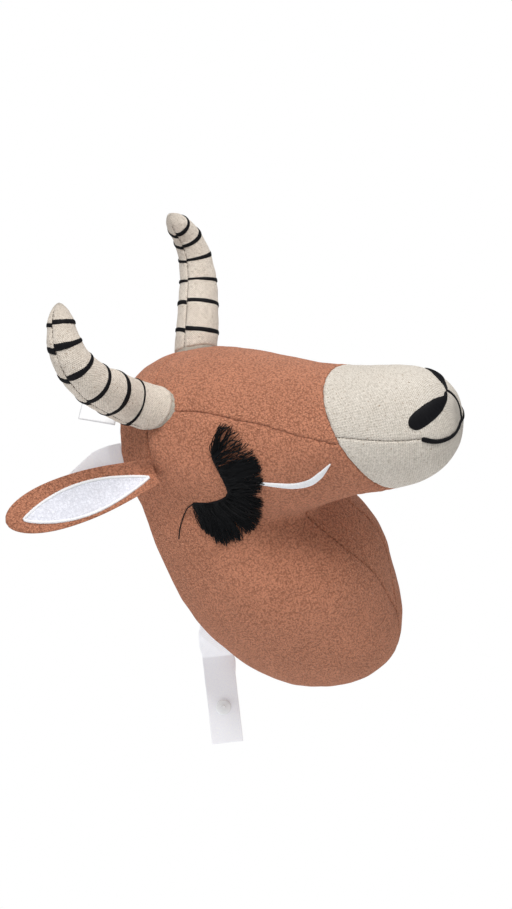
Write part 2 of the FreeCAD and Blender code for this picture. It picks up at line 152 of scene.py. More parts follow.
def join_pieces(name, pieces):
    """Join mesh objects into one that keeps their pattern coordinates."""
    with bpy.context.temp_override(active_object=pieces[0], selected_editable_objects=pieces):
        bpy.ops.object.join()
    pieces[0].name = name
    pieces[0].data.name = name
    return pieces[0]


def modify(item, kind, **settings):
    """Add a modifier with its settings."""
    modifier = item.modifiers.new(kind.lower(), kind)
    for name, value in settings.items():
        setattr(modifier, name, value)
    return modifier


def apply_modifiers(item):
    """Replace the mesh with the result of its modifiers."""
    bpy.context.view_layer.update()
    result = bpy.data.meshes.new_from_object(item.evaluated_get(bpy.context.evaluated_depsgraph_get()))
    item.modifiers.clear()
    item.data = result


def move_vertices(item, places):
    item.data.vertices.foreach_set("co", places.astype(np.float32).ravel())
    item.data.update()


def finish_piece(item, material, slot, body, *nodes, bend=None):
    """Give a piece its material, hide the CAD nodes that it stands for and attach it to its body. A piece
    given a bend is not attached: its place is baked into its mesh."""
    item.data.materials.clear()
    item.data.materials.append(material)
    if nodes:
        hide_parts(*nodes)
    if bend is None:
        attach(item, body)
    else:
        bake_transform(item)


def set_pattern(item, values):
    """Store the cloth's own coordinates, in metres, for its material."""
    layer = item.data.attributes.new("pattern", "FLOAT_VECTOR", "POINT")
    layer.data.foreach_set("vector", np.asarray(values, np.float32).ravel())


def closed_sheet(name, top, bottom, pattern=None, wrap=False):
    """A closed thin piece from two grids of points, with two pattern coordinates for each point;
    wrap joins its last row to its first."""
    rows, columns = top.shape[:2]
    count = rows * columns
    index = np.arange(count).reshape(rows, columns)
    if wrap:
        index = np.concatenate([index, index[:1]])
        rims = [index[::-1, 0], index[:, -1]]
    else:
        rims = [np.concatenate([index[0, :], index[1:, -1], index[-1, -2::-1], index[-2::-1, 0]])]
    corners = (index[:-1, :-1], index[1:, :-1], index[1:, 1:], index[:-1, 1:])
    upper = np.stack(corners, -1).reshape(-1, 4)
    sides = [np.stack([rim[:-1] + count, rim[1:] + count, rim[1:], rim[:-1]], -1) for rim in rims]
    faces = np.concatenate([upper, upper[:, ::-1] + count] + sides)
    item = make_object(name, np.concatenate([top.reshape(-1, 3), bottom.reshape(-1, 3)]), faces.tolist())
    if pattern is not None:
        flat = np.stack(np.broadcast_arrays(*pattern, 0.0), -1).reshape(-1, 3)
        set_pattern(item, np.concatenate([flat, flat]))
    return item


def threads(name, paths, radii, sides=5):
    """Round threads as one mesh. paths is (count, steps, 3) and radii (count, steps)."""
    count, steps = paths.shape[:2]
    tangent = unit(np.gradient(paths, axis=1))
    first = unit(np.cross(tangent, unit((0.31, 0.52, 0.79))))
    second = np.cross(tangent, first)
    turn = np.arange(sides) * TURN / sides
    around = first[:, :, None] * np.cos(turn)[:, None] + second[:, :, None] * np.sin(turn)[:, None]
    verts = paths[:, :, None] + around * radii[:, :, None, None]
    index = np.arange(count * steps * sides).reshape(count, steps, sides)
    following = np.roll(index, -1, axis=2)
    walls = np.stack([index[:, :-1], following[:, :-1], following[:, 1:], index[:, 1:]], -1)
    faces = walls.reshape(-1, 4).tolist() + index[:, 0, ::-1].tolist() + index[:, -1].tolist()
    return make_object(name, verts.reshape(-1, 3), faces)


def distances_along(path):
    return np.concatenate([[0], np.cumsum(np.linalg.norm(np.diff(path, axis=0), axis=1))])


def resample(path, step):
    """The same path with points at equal distances close to step."""
    lengths = distances_along(path)
    at = np.linspace(0, lengths[-1], max(2, round(lengths[-1] / step) + 1))
    return np.stack([np.interp(at, lengths, values) for values in path.T], -1)


def smooth_path(points, step):
    """Points at equal steps on a Catmull-Rom curve through the given points."""
    points = np.asarray(points, float)
    padded = np.concatenate([[2 * points[0] - points[1]], points, [2 * points[-1] - points[-2]]])
    share = np.linspace(0, 1, 24, endpoint=False)[:, None]
    pieces = []
    for a, b, c, d in zip(padded, padded[1:], padded[2:], padded[3:]):
        pieces.append(0.5 * (2 * b + (c - a) * share + (2 * a - 5 * b + 4 * c - d) * share ** 2
                             + (3 * b - a - 3 * c + d) * share ** 3))
    return resample(np.concatenate(pieces + [points[-1:]]), step)


def waves(points, length, seed):
    """Smooth noise between about -1 and 1 at each point, with bumps of the given length."""
    source = np.random.default_rng(seed)
    total = 0
    for _ in range(7):
        direction = unit(source.normal(size=3)) * source.uniform(0.7, 1.4) * TURN / length
        total = total + np.sin(points @ direction + source.uniform(0, TURN))
    return total / 3.0


def rounded(share):
    """A quarter circle that rises from 0 at 0 to 1 at 1 and stays there."""
    share = np.clip(share, 0, 1)
    return np.sqrt(share * (2 - share))


def tree_of(item):
    """A search tree over an object's mesh."""
    mesh = item.data
    return BVHTree.FromPolygons([v.co for v in mesh.vertices], [p.vertices for p in mesh.polygons])


def snap(tree, points):
    """The nearest surface points and their normals."""
    found = np.array([tree.find_nearest(Vector(point))[:2] for point in points.reshape(-1, 3)])
    return found[:, 0].reshape(points.shape), found[:, 1].reshape(points.shape)


def satin_edge(half_width, count):
    """Half width of a band of satin stitch at each of its points, slightly uneven."""
    return half_width + SATIN_JITTER * random.normal(size=count).clip(-1.5, 1.5)


def satin_height(height, t, thread):
    """Height of a band: round across it, where t runs from -1 to 1, and rippled along its threads."""
    crown = np.sqrt(np.maximum(0, 1 - t ** 2)) ** 0.8
    return height * crown * (1 + THREAD_RIPPLE * np.sin(thread * TURN))[:, None]


def satin_band(name, tree, centre, across, half_width, height, steps=9):
    """A band of satin stitch on a surface, with its threads across a path."""
    along = distances_along(centre)
    edge = np.maximum(satin_edge(half_width, len(centre)), 0.15 * MM)
    t = np.linspace(-1, 1, steps)
    places, normals = snap(tree, centre[:, None] + across[:, None] * (edge[:, None] * t)[..., None])
    normals = unit(normals.mean(1))[:, None]
    top = places + normals * satin_height(height, t, along / THREAD_PITCH)[..., None]
    bottom = places - normals * 0.4 * MM
    return closed_sheet(name, top, bottom, pattern=(along[:, None], edge[:, None] * t))


# ---------------------------------------------------------------- materials

def grey(value):
    return (value,) * 3


def add_node(tree, kind, inputs, **settings):
    """A new shader node. Each of its inputs gets a value or another node's output."""
    node = tree.nodes.new(kind)
    for name, value in settings.items():
        setattr(node, name, value)
    for socket, value in inputs.items():
        if isinstance(value, bpy.types.NodeSocket):
            tree.links.new(value, node.inputs[socket])
        else:
            node.inputs[socket].default_value = value
    return node


class Surface:
    """A node material with the textures that feed its Principled shader."""

    def __init__(self, name, shading):
        self.material = bpy.data.materials.new(name)
        self.material.use_nodes = True
        self.tree = self.material.node_tree
        self.shader = self.tree.nodes["Principled BSDF"]
        for socket, value in shading.items():
            self.shader.inputs[socket].default_value = value

    def place(self, scale, source="Object"):
        """Coordinates multiplied by scale, from the object or from the cloth's own pattern."""
        if source == "Object":
            vector = add_node(self.tree, "ShaderNodeTexCoord", {}).outputs[source]
        else:
            vector = add_node(self.tree, "ShaderNodeAttribute", {}, attribute_name=source).outputs["Vector"]
        scale = scale if isinstance(scale, tuple) else grey(scale)
        return add_node(self.tree, "ShaderNodeMapping", {"Vector": vector, "Scale": scale}).outputs["Vector"]

    def noise(self, scale, detail, roughness, distortion=0.0, source="Object"):
        """Noise with scale bumps to the metre."""
        inputs = {"Vector": self.place(scale, source), "Scale": 1.0, "Detail": detail,
                  "Roughness": roughness, "Distortion": distortion}
        return add_node(self.tree, "ShaderNodeTexNoise", inputs).outputs["Fac"]

    def ramp(self, value, *stops):
        """A colour ramp from (position, colour) pairs."""
        node = add_node(self.tree, "ShaderNodeValToRGB", {"Fac": value})
        elements = node.color_ramp.elements
        while len(elements) < len(stops):
            elements.new(0.5)
        for element, (position, colour) in zip(elements, stops):
            element.position = position
            element.color = (*colour, 1)
        return node.outputs["Color"]

    def maths(self, operation, first, second=0.0):
        return add_node(self.tree, "ShaderNodeMath", {0: first, 1: second}, operation=operation).outputs[0]

    def feed(self, socket, value):
        self.tree.links.new(value, self.shader.inputs[socket])

    def colour(self, product, *others):
        """The product of some colours becomes the base colour."""
        for other in others:
            mix = add_node(self.tree, "ShaderNodeMix", {"Factor": 1.0, "A": product, "B": other},
                           data_type="RGBA", blend_type="MULTIPLY")
            product = mix.outputs["Result"]
        self.feed("Base Color", product)

    def bump(self, height, depth):
        node = add_node(self.tree, "ShaderNodeBump", {"Strength": 1.0, "Distance": depth, "Height": height})
        self.feed("Normal", node.outputs["Normal"])


def grained(name, shading, grain, dark, light, depth, positions=(0.3, 0.7)):
    """A surface whose colour and relief follow one noise; returns the surface and the noise."""
    surface = Surface(name, shading)
    value = surface.noise(*grain)
    surface.colour(surface.ramp(value, (positions[0], dark), (positions[1], light)))
    surface.bump(value, depth)
    return surface, value


def pebbles_of(cloth, scale):
    """Distance from the middle of wool pebbles of irregular shape, scale pebbles to the metre."""
    place = cloth.place(scale)
    bend = add_node(cloth.tree, "ShaderNodeTexNoise", {"Vector": place, "Scale": 0.9, "Detail": 2.0})
    shifted = add_node(cloth.tree, "ShaderNodeVectorMath",
                       {0: bend.outputs["Color"], 1: grey(1.8), 2: place}, operation="MULTIPLY_ADD")
    cells = add_node(cloth.tree, "ShaderNodeTexVoronoi",
                     {"Vector": shifted.outputs["Vector"], "Scale": 1.0, "Smoothness": 0.35},
                     feature="SMOOTH_F1")
    return cells.outputs["Distance"]


def felt_material(name, dark, light, scale=700, depth=1.7 * MM):
    """Boiled wool: curled pebbles with pits between them, finer fibres and slow mottling. Its colour holds
    painted shade in the pits and painted highlight on the pebble tops.
    """
    cloth = Surface(name, {"Roughness": 0.95, "Specular IOR Level": 0.15, "Sheen Weight": 0.12,
                           "Sheen Roughness": 0.45, "Sheen Tint": (1.0, 0.86, 0.78, 1)})
    pebbles = pebbles_of(cloth, scale)
    fibres = cloth.noise(2300, 3.0, 0.6, 0.8)
    mottle = cloth.noise(38, 3.0, 0.55)
    # Painted shade and highlight: the colour is darker in the pits between pebbles and lighter on the pebble
    # tops.
    painted_relief_shade = cloth.ramp(pebbles, (0.16, [1.12 * c for c in light]), (0.42, light), (0.70, dark))
    fuzz = cloth.ramp(fibres, (0.32, grey(0.88)), (0.68, grey(1.08)))
    slow = cloth.ramp(mottle, (0.32, (0.94, 0.93, 0.92)), (0.68, grey(1.05)))
    cloth.colour(painted_relief_shade, fuzz, slow)
    cloth.bump(cloth.maths("SUBTRACT", cloth.maths("MULTIPLY", fibres, 0.35), pebbles), depth)
    return cloth.material


def linen_material(name, light, dark):
    """Plain-weave linen with uneven yarn and brown flecks."""
    cloth = Surface(name, {"Roughness": 0.85, "Specular IOR Level": 0.25, "Sheen Weight": 0.12})
    weft_yarn = cloth.noise((300, 1500, 300), 3.0, 0.65, source="pattern")
    warp_yarn = cloth.noise((1500, 300, 300), 3.0, 0.65, source="pattern")
    flecks = cloth.noise((560, 1100, 500), 2.0, 0.6, 0.6, "pattern")
    cloud = cloth.noise(45, 3.0, 0.6)
    yarn = cloth.maths("MULTIPLY", cloth.maths("ADD", weft_yarn, warp_yarn), 0.5)
    place = add_node(cloth.tree, "ShaderNodeSeparateXYZ", {0: cloth.place(TURN / LINEN_PITCH, "pattern")})
    weave = cloth.maths("MULTIPLY", cloth.maths("SINE", place.outputs["X"]),
                        cloth.maths("SINE", place.outputs["Y"]))
    cloth.colour(
        cloth.ramp(yarn, (0.33, dark), (0.54, light), (0.72, [min(1, c * 1.08) for c in light])),
        cloth.ramp(flecks, (0.30, (0.50, 0.38, 0.29)), (0.37, grey(1))),
        cloth.ramp(cloud, (0.3, (0.95, 0.94, 0.93)), (0.7, grey(1.02))),
        cloth.ramp(cloth.maths("ADD", weave, 0.5), (0.0, grey(0.80)), (1.0, grey(1.08))))
    cloth.bump(cloth.maths("ADD", cloth.maths("MULTIPLY", weave, 0.35), yarn), 0.5 * MM)
    return cloth.material


def satin_material(name, dark, light, roughness, specular=0.4, sheen=0.15):
    """Embroidery thread laid side by side across the band."""
    shading = {"Roughness": roughness, "Specular IOR Level": specular, "Sheen Weight": sheen}
    grain = ((3200, 160, 160), 2.0, 0.6, 0.0, "pattern")
    return grained(name, shading, grain, dark, light, 0.25 * MM, (0.32, 0.66))[0].material


def tape_material():
    """White herringbone twill with a faint bluish glow, painted light that brightens the tape where it lies
    in the shade of the neck.
    """
    cloth = Surface("tape_twill", {"Roughness": 0.8, "Sheen Weight": 0.1, "Emission Strength": 0.08,
                                   "Emission Color": (0.92, 0.93, 1.0, 1)})
    place = add_node(cloth.tree, "ShaderNodeSeparateXYZ", {0: cloth.place(1, "pattern")})
    zigzag = cloth.maths("PINGPONG", place.outputs["Y"], TWILL_TURN)
    slope = cloth.maths("ADD", place.outputs["X"], zigzag)
    ribs = cloth.maths("SINE", cloth.maths("MULTIPLY", slope, TURN / TWILL_PITCH))
    uneven = cloth.noise(900, 3.0, 0.6)
    height = cloth.maths("ADD", cloth.maths("MULTIPLY", ribs, 0.35), uneven)
    cloth.colour(cloth.ramp(height, (0.15, (0.80, 0.80, 0.84)), (0.6, (0.92, 0.92, 0.96)),
                            (1.0, (0.96, 0.96, 0.99))))
    cloth.bump(height, 0.15 * MM)
    return cloth.material


def plastic_material():
    """Translucent moulded plastic with faint scuffs."""
    plastic, scuffs = grained("snap_plastic_clear", {"Transmission Weight": 0.12, "IOR": 1.49},
                              (700, 4.0, 0.6), (0.90, 0.91, 0.93), (0.97, 0.97, 0.98), 0.01 * MM)
    plastic.feed("Roughness", plastic.ramp(scuffs, (0.3, grey(0.10)), (0.7, grey(0.22))))
    return plastic.material


def fibre_material():
    """White polyester filling."""
    return grained("filling_fibre", {"Roughness": 0.95}, (420, 5.0, 0.7, 2.0),
                   (0.62, 0.62, 0.60), (0.92, 0.92, 0.90), 0.8 * MM)[0].material


def board_material():
    """Grey-brown pressed board with short fibres."""
    return grained("pressed_board", {"Roughness": 0.9}, ((300, 300, 1200), 4.0, 0.6, 0.5),
                   (0.38, 0.30, 0.21), (0.60, 0.50, 0.37), 0.1 * MM)[0].material


def label_material():
    """White woven satin with fine ribs, left blank."""
    return grained("label_satin", {"Roughness": 0.4, "Sheen Weight": 0.2},
                   ((4000, 120, 120), 2.0, 0.5, 0.0, "pattern"),
                   (0.78, 0.79, 0.82), (0.90, 0.91, 0.93), 0.05 * MM)[0].material


LINEN_PITCH = 1.6 * MM
TWILL_PITCH = 0.95 * MM
TWILL_TURN = 3.4 * MM         # width of one slope of the herringbone
FELT = felt_material("terracotta_felt", (0.405, 0.163, 0.095), (0.625, 0.265, 0.159))
WHITE_FELT = felt_material("white_felt", (0.735, 0.75, 0.835), (0.79, 0.805, 0.89), 520, 0.5 * MM)
LINEN = linen_material("natural_linen", (0.75, 0.70, 0.63), (0.40, 0.36, 0.305))
HORN_LINEN = linen_material("horn_linen", (0.79, 0.715, 0.63), (0.44, 0.385, 0.32))
# The collar's linen is a darker copy of the linen: painted shade where it sits in the gap at the horn's base.
SHADED_COLLAR_LINEN = linen_material("turned_linen_painted_shade", (0.50, 0.47, 0.41), (0.36, 0.33, 0.28))
BLACK_SATIN = satin_material("black_satin_stitch", (0.001, 0.001, 0.002), (0.006, 0.006, 0.008),
                             0.6, 0.14, 0.0)
BLACK_THREAD = satin_material("black_thread", grey(0.001), (0.003, 0.004, 0.006), 0.5, 0.16, 0.0)
WHITE_SATIN = satin_material("white_satin_stitch", (0.80, 0.81, 0.85), (0.97, 0.98, 1.0), 0.5)
SEAM_THREAD = satin_material("seam_thread", (0.10, 0.08, 0.065), (0.20, 0.16, 0.13), 0.7)
FIBRE = fibre_material()

# Face lines as (x, height) on the muzzle seen from the front, and (y, height) on the cheeks, in
# millimetres. Widths are (share of the length, half width).
NOSTRILS = {
    "right": ((-1.5, 86.9), (-6.0, 85.0), (-14.0, 84.9), (-21.0, 84.3), (-27.0, 83.2), (-30.5, 82.1),
              (-33.4, 81.0)),
    "left": ((1.5, 86.9), (4.5, 88.6), (9.0, 91.2), (15.0, 92.6), (22.0, 91.6), (28.0, 88.8), (33.0, 85.4)),
}
NOSTRIL_WIDTH = ((0, 0.8), (0.1, 1.5), (0.22, 3.2), (0.36, 5.0), (0.55, 6.1), (0.78, 6.3), (1.0, 5.4))
PHILTRUM_PATH = ((0.5, 87.2), (3.2, 83.0), (5.4, 77.5), (6.0, 71.0), (4.6, 65.5), (2.5, 61.4))
PHILTRUM_WIDTH = ((0, 1.0), (1, 0.9))
HALF_MOUTH = ((0.0, 61.6), (7.0, 60.2), (14.8, 59.9), (22.5, 61.4), (27.8, 63.9), (31.0, 67.0), (33.4, 70.4))
MOUTH_PATH = tuple((-x, z) for x, z in HALF_MOUTH[:0:-1]) + HALF_MOUTH
MOUTH_WIDTH = ((0, 1.8), (0.2, 1.4), (0.5, 0.9), (0.8, 1.4), (1, 1.8))
STRIPE_PATH = ((-98, 66.0), (-110, 62.0), (-119, 57.8), (-129.7, 53.6), (-139.4, 53.2), (-149.2, 57.2),
               (-160.8, 65.8))
STRIPE_WIDTH = ((0, 1.0), (0.3, 1.8), (0.5, 2.6), (0.68, 3.2), (0.82, 2.4), (0.93, 1.2), (1.0, 0.3))

# ---------------------------------------------------------------- the stuffed hull

PANELS = ("crown_panel", "nape_panel", "right_cheek_panel", "left_cheek_panel", "throat_gusset",
          "muzzle_top", "muzzle_bottom", "back_panel")
COVER = {"felt": (FELT, FELT_THICKNESS), "linen": (LINEN, LINEN_THICKNESS)}
HULL_VOXEL = 4.5 * MM
HULL_SWELL_LIMIT = 1.4 * MM   # how far a point of the cover may leave the CAD surface
HULL_CLOTH = {"quality": 5, "mass": 0.3, "tension_stiffness": 12, "compression_stiffness": 12,
              "bending_stiffness": 0.6, "use_pressure": True, "uniform_pressure_force": 4.0}
SWELL_FRAMES = 20
FILLING_GAP = 3.2 * MM
CROWN_TAPER = 5.0 / 165.0     # how fast the crown panel narrows towards the nose
THROAT_BEND = -28 * MM        # height where the throat gusset starts to narrow
BACK_CUT = -1.0 * MM          # where the hull is opened for the back panel
# The rolled rim of the back: how far each ring lies inside the outline and in front of the wall.
BACK_RIM = ((1.6, -1.6), (1.3, -0.9), (1.8, -0.35), (3.0, -0.08), (5.0, 0.0), (12.0, 0.0))
WEAVE_TURN = math.radians(32)     # the linen's threads run askew on the muzzle
WEAVE_RADIUS = 45 * MM


def joined_copy(name, nodes):
    """One new mesh object holding copies of CAD nodes."""
    shape = bmesh.new()
    for node in nodes:
        shape.from_mesh(frame["nodes"][node].data)
    mesh = bpy.data.meshes.new(name)
    shape.to_mesh(mesh)
    shape.free()
    return add_object(name, mesh)


def remesh(item, voxel, rounds):
    """Rebuild a mesh in even voxels and smooth it."""
    modify(item, "REMESH", mode="VOXEL", voxel_size=voxel)
    modify(item, "SMOOTH", factor=0.5, iterations=rounds)
    apply_modifiers(item)


def loose_parts(shape):
    """The connected groups of vertices of a bmesh."""
    shape.verts.ensure_lookup_table()
    shape.verts.index_update()
    seen = set()
    parts = []
    for start in shape.verts:
        if start.index in seen:
            continue
        seen.add(start.index)
        stack = [start]
        part = []
        while stack:
            vertex = stack.pop()
            part.append(vertex)
            for edge in vertex.link_edges:
                other = edge.other_vert(vertex)
                if other.index not in seen:
                    seen.add(other.index)
                    stack.append(other)
        parts.append(part)
    return parts


def keep_tallest_part(item):
    """Delete every loose part but the one that is tallest."""
    shape = bmesh.new()
    shape.from_mesh(item.data)
    tallest = max(loose_parts(shape), key=lambda part: np.ptp(points_of(part)[:, 2]))
    keep = {v.index for v in tallest}
    bmesh.ops.delete(shape, geom=[v for v in shape.verts if v.index not in keep], context="VERTS")
    shape.to_mesh(item.data)
    shape.free()


class Seams:
    """The seam lines of the cover, each a function that is zero on the seam. Their places are
    read from the CAD panels' boxes."""

    def __init__(self):
        top_low, top_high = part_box("muzzle_top")
        low_low, low_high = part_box("muzzle_bottom")
        throat_low, throat_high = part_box("throat_gusset")
        nape_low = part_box("nape_panel")[0]
        crown_low, crown_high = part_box("crown_panel")
        self.ring_top = (top_high.y, top_high.z)
        self.ring_low = (throat_low.y, low_low.z)
        self.mouth_rear = (low_high.z, self.ring_y(low_high.z))
        self.mouth_nose = (top_low.z, low_low.y)
        self.mouth_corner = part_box("mouth_line")[1].y
        self.nape_y = nape_low.y
        self.nape_z = nape_low.z
        self.crown_z = crown_low.z - 3 * MM
        self.crown_half = crown_high.x
        self.crown_rear = crown_high.y
        self.throat_half = throat_high.x
        self.throat_point = throat_low.z
        self.throat_rear = throat_high.y

    def ring_y(self, z):
        """y of the muzzle seam at a height."""
        (y1, z1), (y2, z2) = self.ring_top, self.ring_low
        return y1 + (y2 - y1) * (z - z1) / (z2 - z1)

    def muzzle(self, p):
        return self.ring_y(p[:, 2]) - p[:, 1]

    def mouth(self, p):
        x, z = np.array(HALF_MOUTH).T * MM
        front = np.interp(np.abs(p[:, 0]), x, z)
        side = self.mouth_z(p[:, 1])
        return p[:, 2] - np.where(p[:, 1] < self.mouth_corner, np.minimum(front, side), side)

    def mouth_z(self, y):
        """Height of the mouth seam on the side of the muzzle."""
        (z1, y1), (z2, y2) = self.mouth_rear, self.mouth_nose
        return z1 + (z2 - z1) * (y - y1) / (y2 - y1)

    def nape_front(self, p):
        return self.nape_y - p[:, 1]

    def nape_bottom(self, p):
        return p[:, 2] - self.nape_z

    def crown(self, p):
        return self.crown_half - CROWN_TAPER * (self.crown_rear - p[:, 1]) - np.abs(p[:, 0])

    def throat(self, p):
        share = (p[:, 2] - self.throat_point) / (THROAT_BEND - self.throat_point)
        return self.throat_half * np.clip(share, 0, 1) - np.abs(p[:, 0])

    def middle(self, p):
        return p[:, 0]

    def panel(self, p):
        """The index in PANELS of the panel each point belongs to."""
        muzzle = self.muzzle(p) > 0
        nape = (self.nape_front(p) < 0) & (self.nape_bottom(p) > 0)
        crown = (self.crown(p) > 0) & (p[:, 2] > self.crown_z)
        throat = (self.throat(p) > 0) & (p[:, 2] < self.crown_z) & (p[:, 1] < self.throat_rear)
        number = np.where(self.middle(p) < 0, 2, 3)
        number = np.where(throat, 4, number)
        number = np.where(crown, 0, number)
        number = np.where(nape, 1, number)
        return np.where(muzzle, np.where(self.mouth(p) > 0, 5, 6), number)

    def lines(self):
        """Every seam with the part of the cover it crosses."""
        def felt(p):
            return self.muzzle(p) < 1 * MM

        def high(p):
            return p[:, 2] > self.crown_z

        margin = 2 * MM
        return (
            (self.muzzle, lambda p: p[:, 2] > -60 * MM),
            (self.mouth, lambda p: self.muzzle(p) > -margin),
            (self.nape_front, lambda p: p[:, 2] > self.nape_z - margin),
            (self.nape_bottom, lambda p: self.nape_front(p) < margin),
            (self.crown, lambda p: felt(p) & high(p) & (self.nape_front(p) > -margin)),
            (self.throat, lambda p: felt(p) & ~high(p) & (p[:, 1] < self.throat_rear + margin)
             & (p[:, 2] > self.throat_point - margin)),
            (self.middle, lambda p: p[:, 2] < self.throat_point + margin),
        )


SEAMS = Seams()


def near_seam(points):
    """Roughly how far each point is from the nearest seam, in metres."""
    nearest = np.full(len(points), 1.0)
    for value, area in SEAMS.lines():
        nearest = np.where(area(points), np.minimum(nearest, np.abs(value(points))), nearest)
    return nearest


def inflate(item):
    """Fill the cover with pressure: seams and the flat back hold, the panels swell."""
    start = points_of(item.data.vertices)
    held = item.vertex_groups.new(name="held")
    fixed = (near_seam(start) < 0.55 * HULL_VOXEL) | (start[:, 1] > -HULL_VOXEL)
    held.add([int(i) for i in np.flatnonzero(fixed)], 1.0, "REPLACE")
    cloth = modify(item, "CLOTH").settings
    for name, value in HULL_CLOTH.items():
        setattr(cloth, name, value)
    cloth.effector_weights.gravity = 0
    cloth.vertex_group_mass = held.name
    for number in range(1, SWELL_FRAMES + 1):
        bpy.context.scene.frame_set(number)
    apply_modifiers(item)
    move = points_of(item.data.vertices) - start
    length = np.linalg.norm(move, axis=1, keepdims=True)
    move_vertices(item, start + move * np.minimum(1, HULL_SWELL_LIMIT / np.maximum(length, 1e-9)))


def stuffed_hull():
    """A closed dense skin over the whole cover, swollen between its seams."""
    item = joined_copy("hull", PANELS + ("fibre_filling", "stiffener_board"))
    remesh(item, HULL_VOXEL, 3)
    keep_tallest_part(item)
    inflate(item)
    modify(item, "SUBSURF", levels=2)
    apply_modifiers(item)
    return item


def undulate(shape):
    """Slow dents and the small puckers that run into the seams."""
    shape.verts.ensure_lookup_table()
    points = points_of(shape.verts)
    normals = np.array([v.normal for v in shape.verts])
    dents = 0.35 * MM * waves(points, 42 * MM, 3) + 0.16 * MM * waves(points, 17 * MM, 4)
    puckers = 0.22 * MM * waves(points, 6.5 * MM, 5) * np.exp(-near_seam(points) / (5 * MM))
    flat = np.clip(-points[:, 1] / (6 * MM), 0, 1)
    for vertex, place in zip(shape.verts, points + normals * ((dents + puckers) * flat)[:, None]):
        vertex.co = place


def split_along(shape, value, area):
    """Cut the faces of a bmesh along the line where value is zero, inside an area."""
    shape.verts.index_update()
    points = points_of(shape.verts)
    level = value(points)
    inside = area(points)
    fresh = set()
    for edge in list(shape.edges):
        first, second = edge.verts
        a, b = level[first.index], level[second.index]
        if a * b < 0 and inside[first.index] and inside[second.index]:
            fresh.add(bmesh.utils.edge_split(edge, first, a / (a - b))[1])
    for face in {face for vertex in fresh for face in vertex.link_faces}:
        ends = [vertex for vertex in face.verts if vertex in fresh]
        if len(ends) == 2 and not any(e.other_vert(ends[0]) is ends[1] for e in ends[0].link_edges):
            bmesh.utils.face_split(face, ends[0], ends[1])


def cut_back(shape):
    """Open the hull at the wall, where the back panel closes it."""
    everything = shape.verts[:] + shape.edges[:] + shape.faces[:]
    bmesh.ops.bisect_plane(shape, geom=everything, dist=1e-7, plane_co=(0, BACK_CUT, 0),
                           plane_no=(0, 1, 0), clear_outer=True)


def panel_piece(name, shape, normals, faces, thickness):
    """One cover panel as a closed thin piece whose edges roll in at its seams; returns the piece
    and the places of its points on the hull."""
    used = sorted({vertex.index for face in faces for vertex in face.verts})
    renumber = {old: new for new, old in enumerate(used)}
    points = np.array([shape.verts[i].co for i in used])
    own = [[renumber[vertex.index] for vertex in face.verts] for face in faces]
    edges = dict.fromkeys((a, b) for face in own for a, b in zip(face, face[1:] + face[:1]))
    rim = [(a, b) for a, b in edges if (b, a) not in edges]
    tree = KDTree(len(rim) * 2)
    for number, (a, b) in enumerate(rim):
        tree.insert(Vector(points[a]), 2 * number)
        tree.insert(Vector((points[a] + points[b]) / 2), 2 * number + 1)
    tree.balance()
    away = np.array([tree.find(Vector(point))[2] for point in points])
    share = np.clip(1 - away / SEAM_ROLL, 0, 1)
    outward = normals[used]
    top = points - outward * (SEAM_DEPTH * (1 - np.sqrt(1 - share ** 2)))[:, None]
    bottom = top - outward * (thickness * (1 - 0.5 * share))[:, None]
    count = len(used)
    walls = [[b, a, a + count, b + count] for a, b in rim]
    inner = [[i + count for i in reversed(face)] for face in own]
    return make_object(name, np.concatenate([top, bottom]), own + inner + walls), points


def muzzle_pattern(points):
    """Cloth coordinates on the muzzle: round the head's axis and along it."""
    height = (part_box("muzzle_top")[1].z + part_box("muzzle_bottom")[0].z) / 2
    u = np.arctan2(points[:, 0], points[:, 2] - height) * WEAVE_RADIUS
    v = -points[:, 1]
    turned = (u * math.cos(WEAVE_TURN) - v * math.sin(WEAVE_TURN),
              u * math.sin(WEAVE_TURN) + v * math.cos(WEAVE_TURN))
    return np.stack([*turned, 0 * u], -1)


def back_edge(shape):
    """The flat felt back with a rolled rim, filled in from the opening at the wall."""
    rim = [edge for edge in shape.edges if edge.is_boundary]
    points = points_of({v for edge in rim for v in edge.verts})
    centre = points.mean(0)
    points = points[np.argsort(np.arctan2(points[:, 2] - centre[2], points[:, 0] - centre[0]))]
    outline = resample(np.concatenate([points, points[:1]]), 1.2 * MM)[:-1]
    outward = unit(outline - centre)
    outward[:, 1] = 0
    rings = []
    for inset, level in BACK_RIM:
        ring = outline - outward * inset * MM
        ring[:, 1] = level * MM
        rings.append(ring)
    inner = rings[-1]
    for share in np.linspace(0.86, 0.02, 24):
        ring = centre + (inner - centre) * share
        ring[:, 1] = 0.0
        rings.append(ring)
    top = np.stack(rings, 1)
    item = closed_sheet("back_panel_felt", top, top - np.array([0, FELT_THICKNESS, 0]), wrap=True)
    finish_piece(item, FELT, "felt", "root", "back_panel")


def filling(shape, normals):
    """The fibre filling, a little inside the cover."""
    points = points_of(shape.verts) - normals * FILLING_GAP
    points[:, 1] = np.minimum(points[:, 1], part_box("fibre_filling")[1].y)
    copy = shape.copy()
    for vertex, place in zip(copy.verts, points):
        vertex.co = place
    bmesh.ops.holes_fill(copy, edges=[edge for edge in copy.edges if edge.is_boundary], sides=0)
    mesh = bpy.data.meshes.new("fibre_filling_soft")
    copy.to_mesh(mesh)
    copy.free()
    mesh.shade_smooth()
    item = add_object("fibre_filling_soft", mesh)
    modify(item, "DECIMATE", ratio=0.15)
    apply_modifiers(item)
    finish_piece(item, FIBRE, "filling", "root", "fibre_filling")


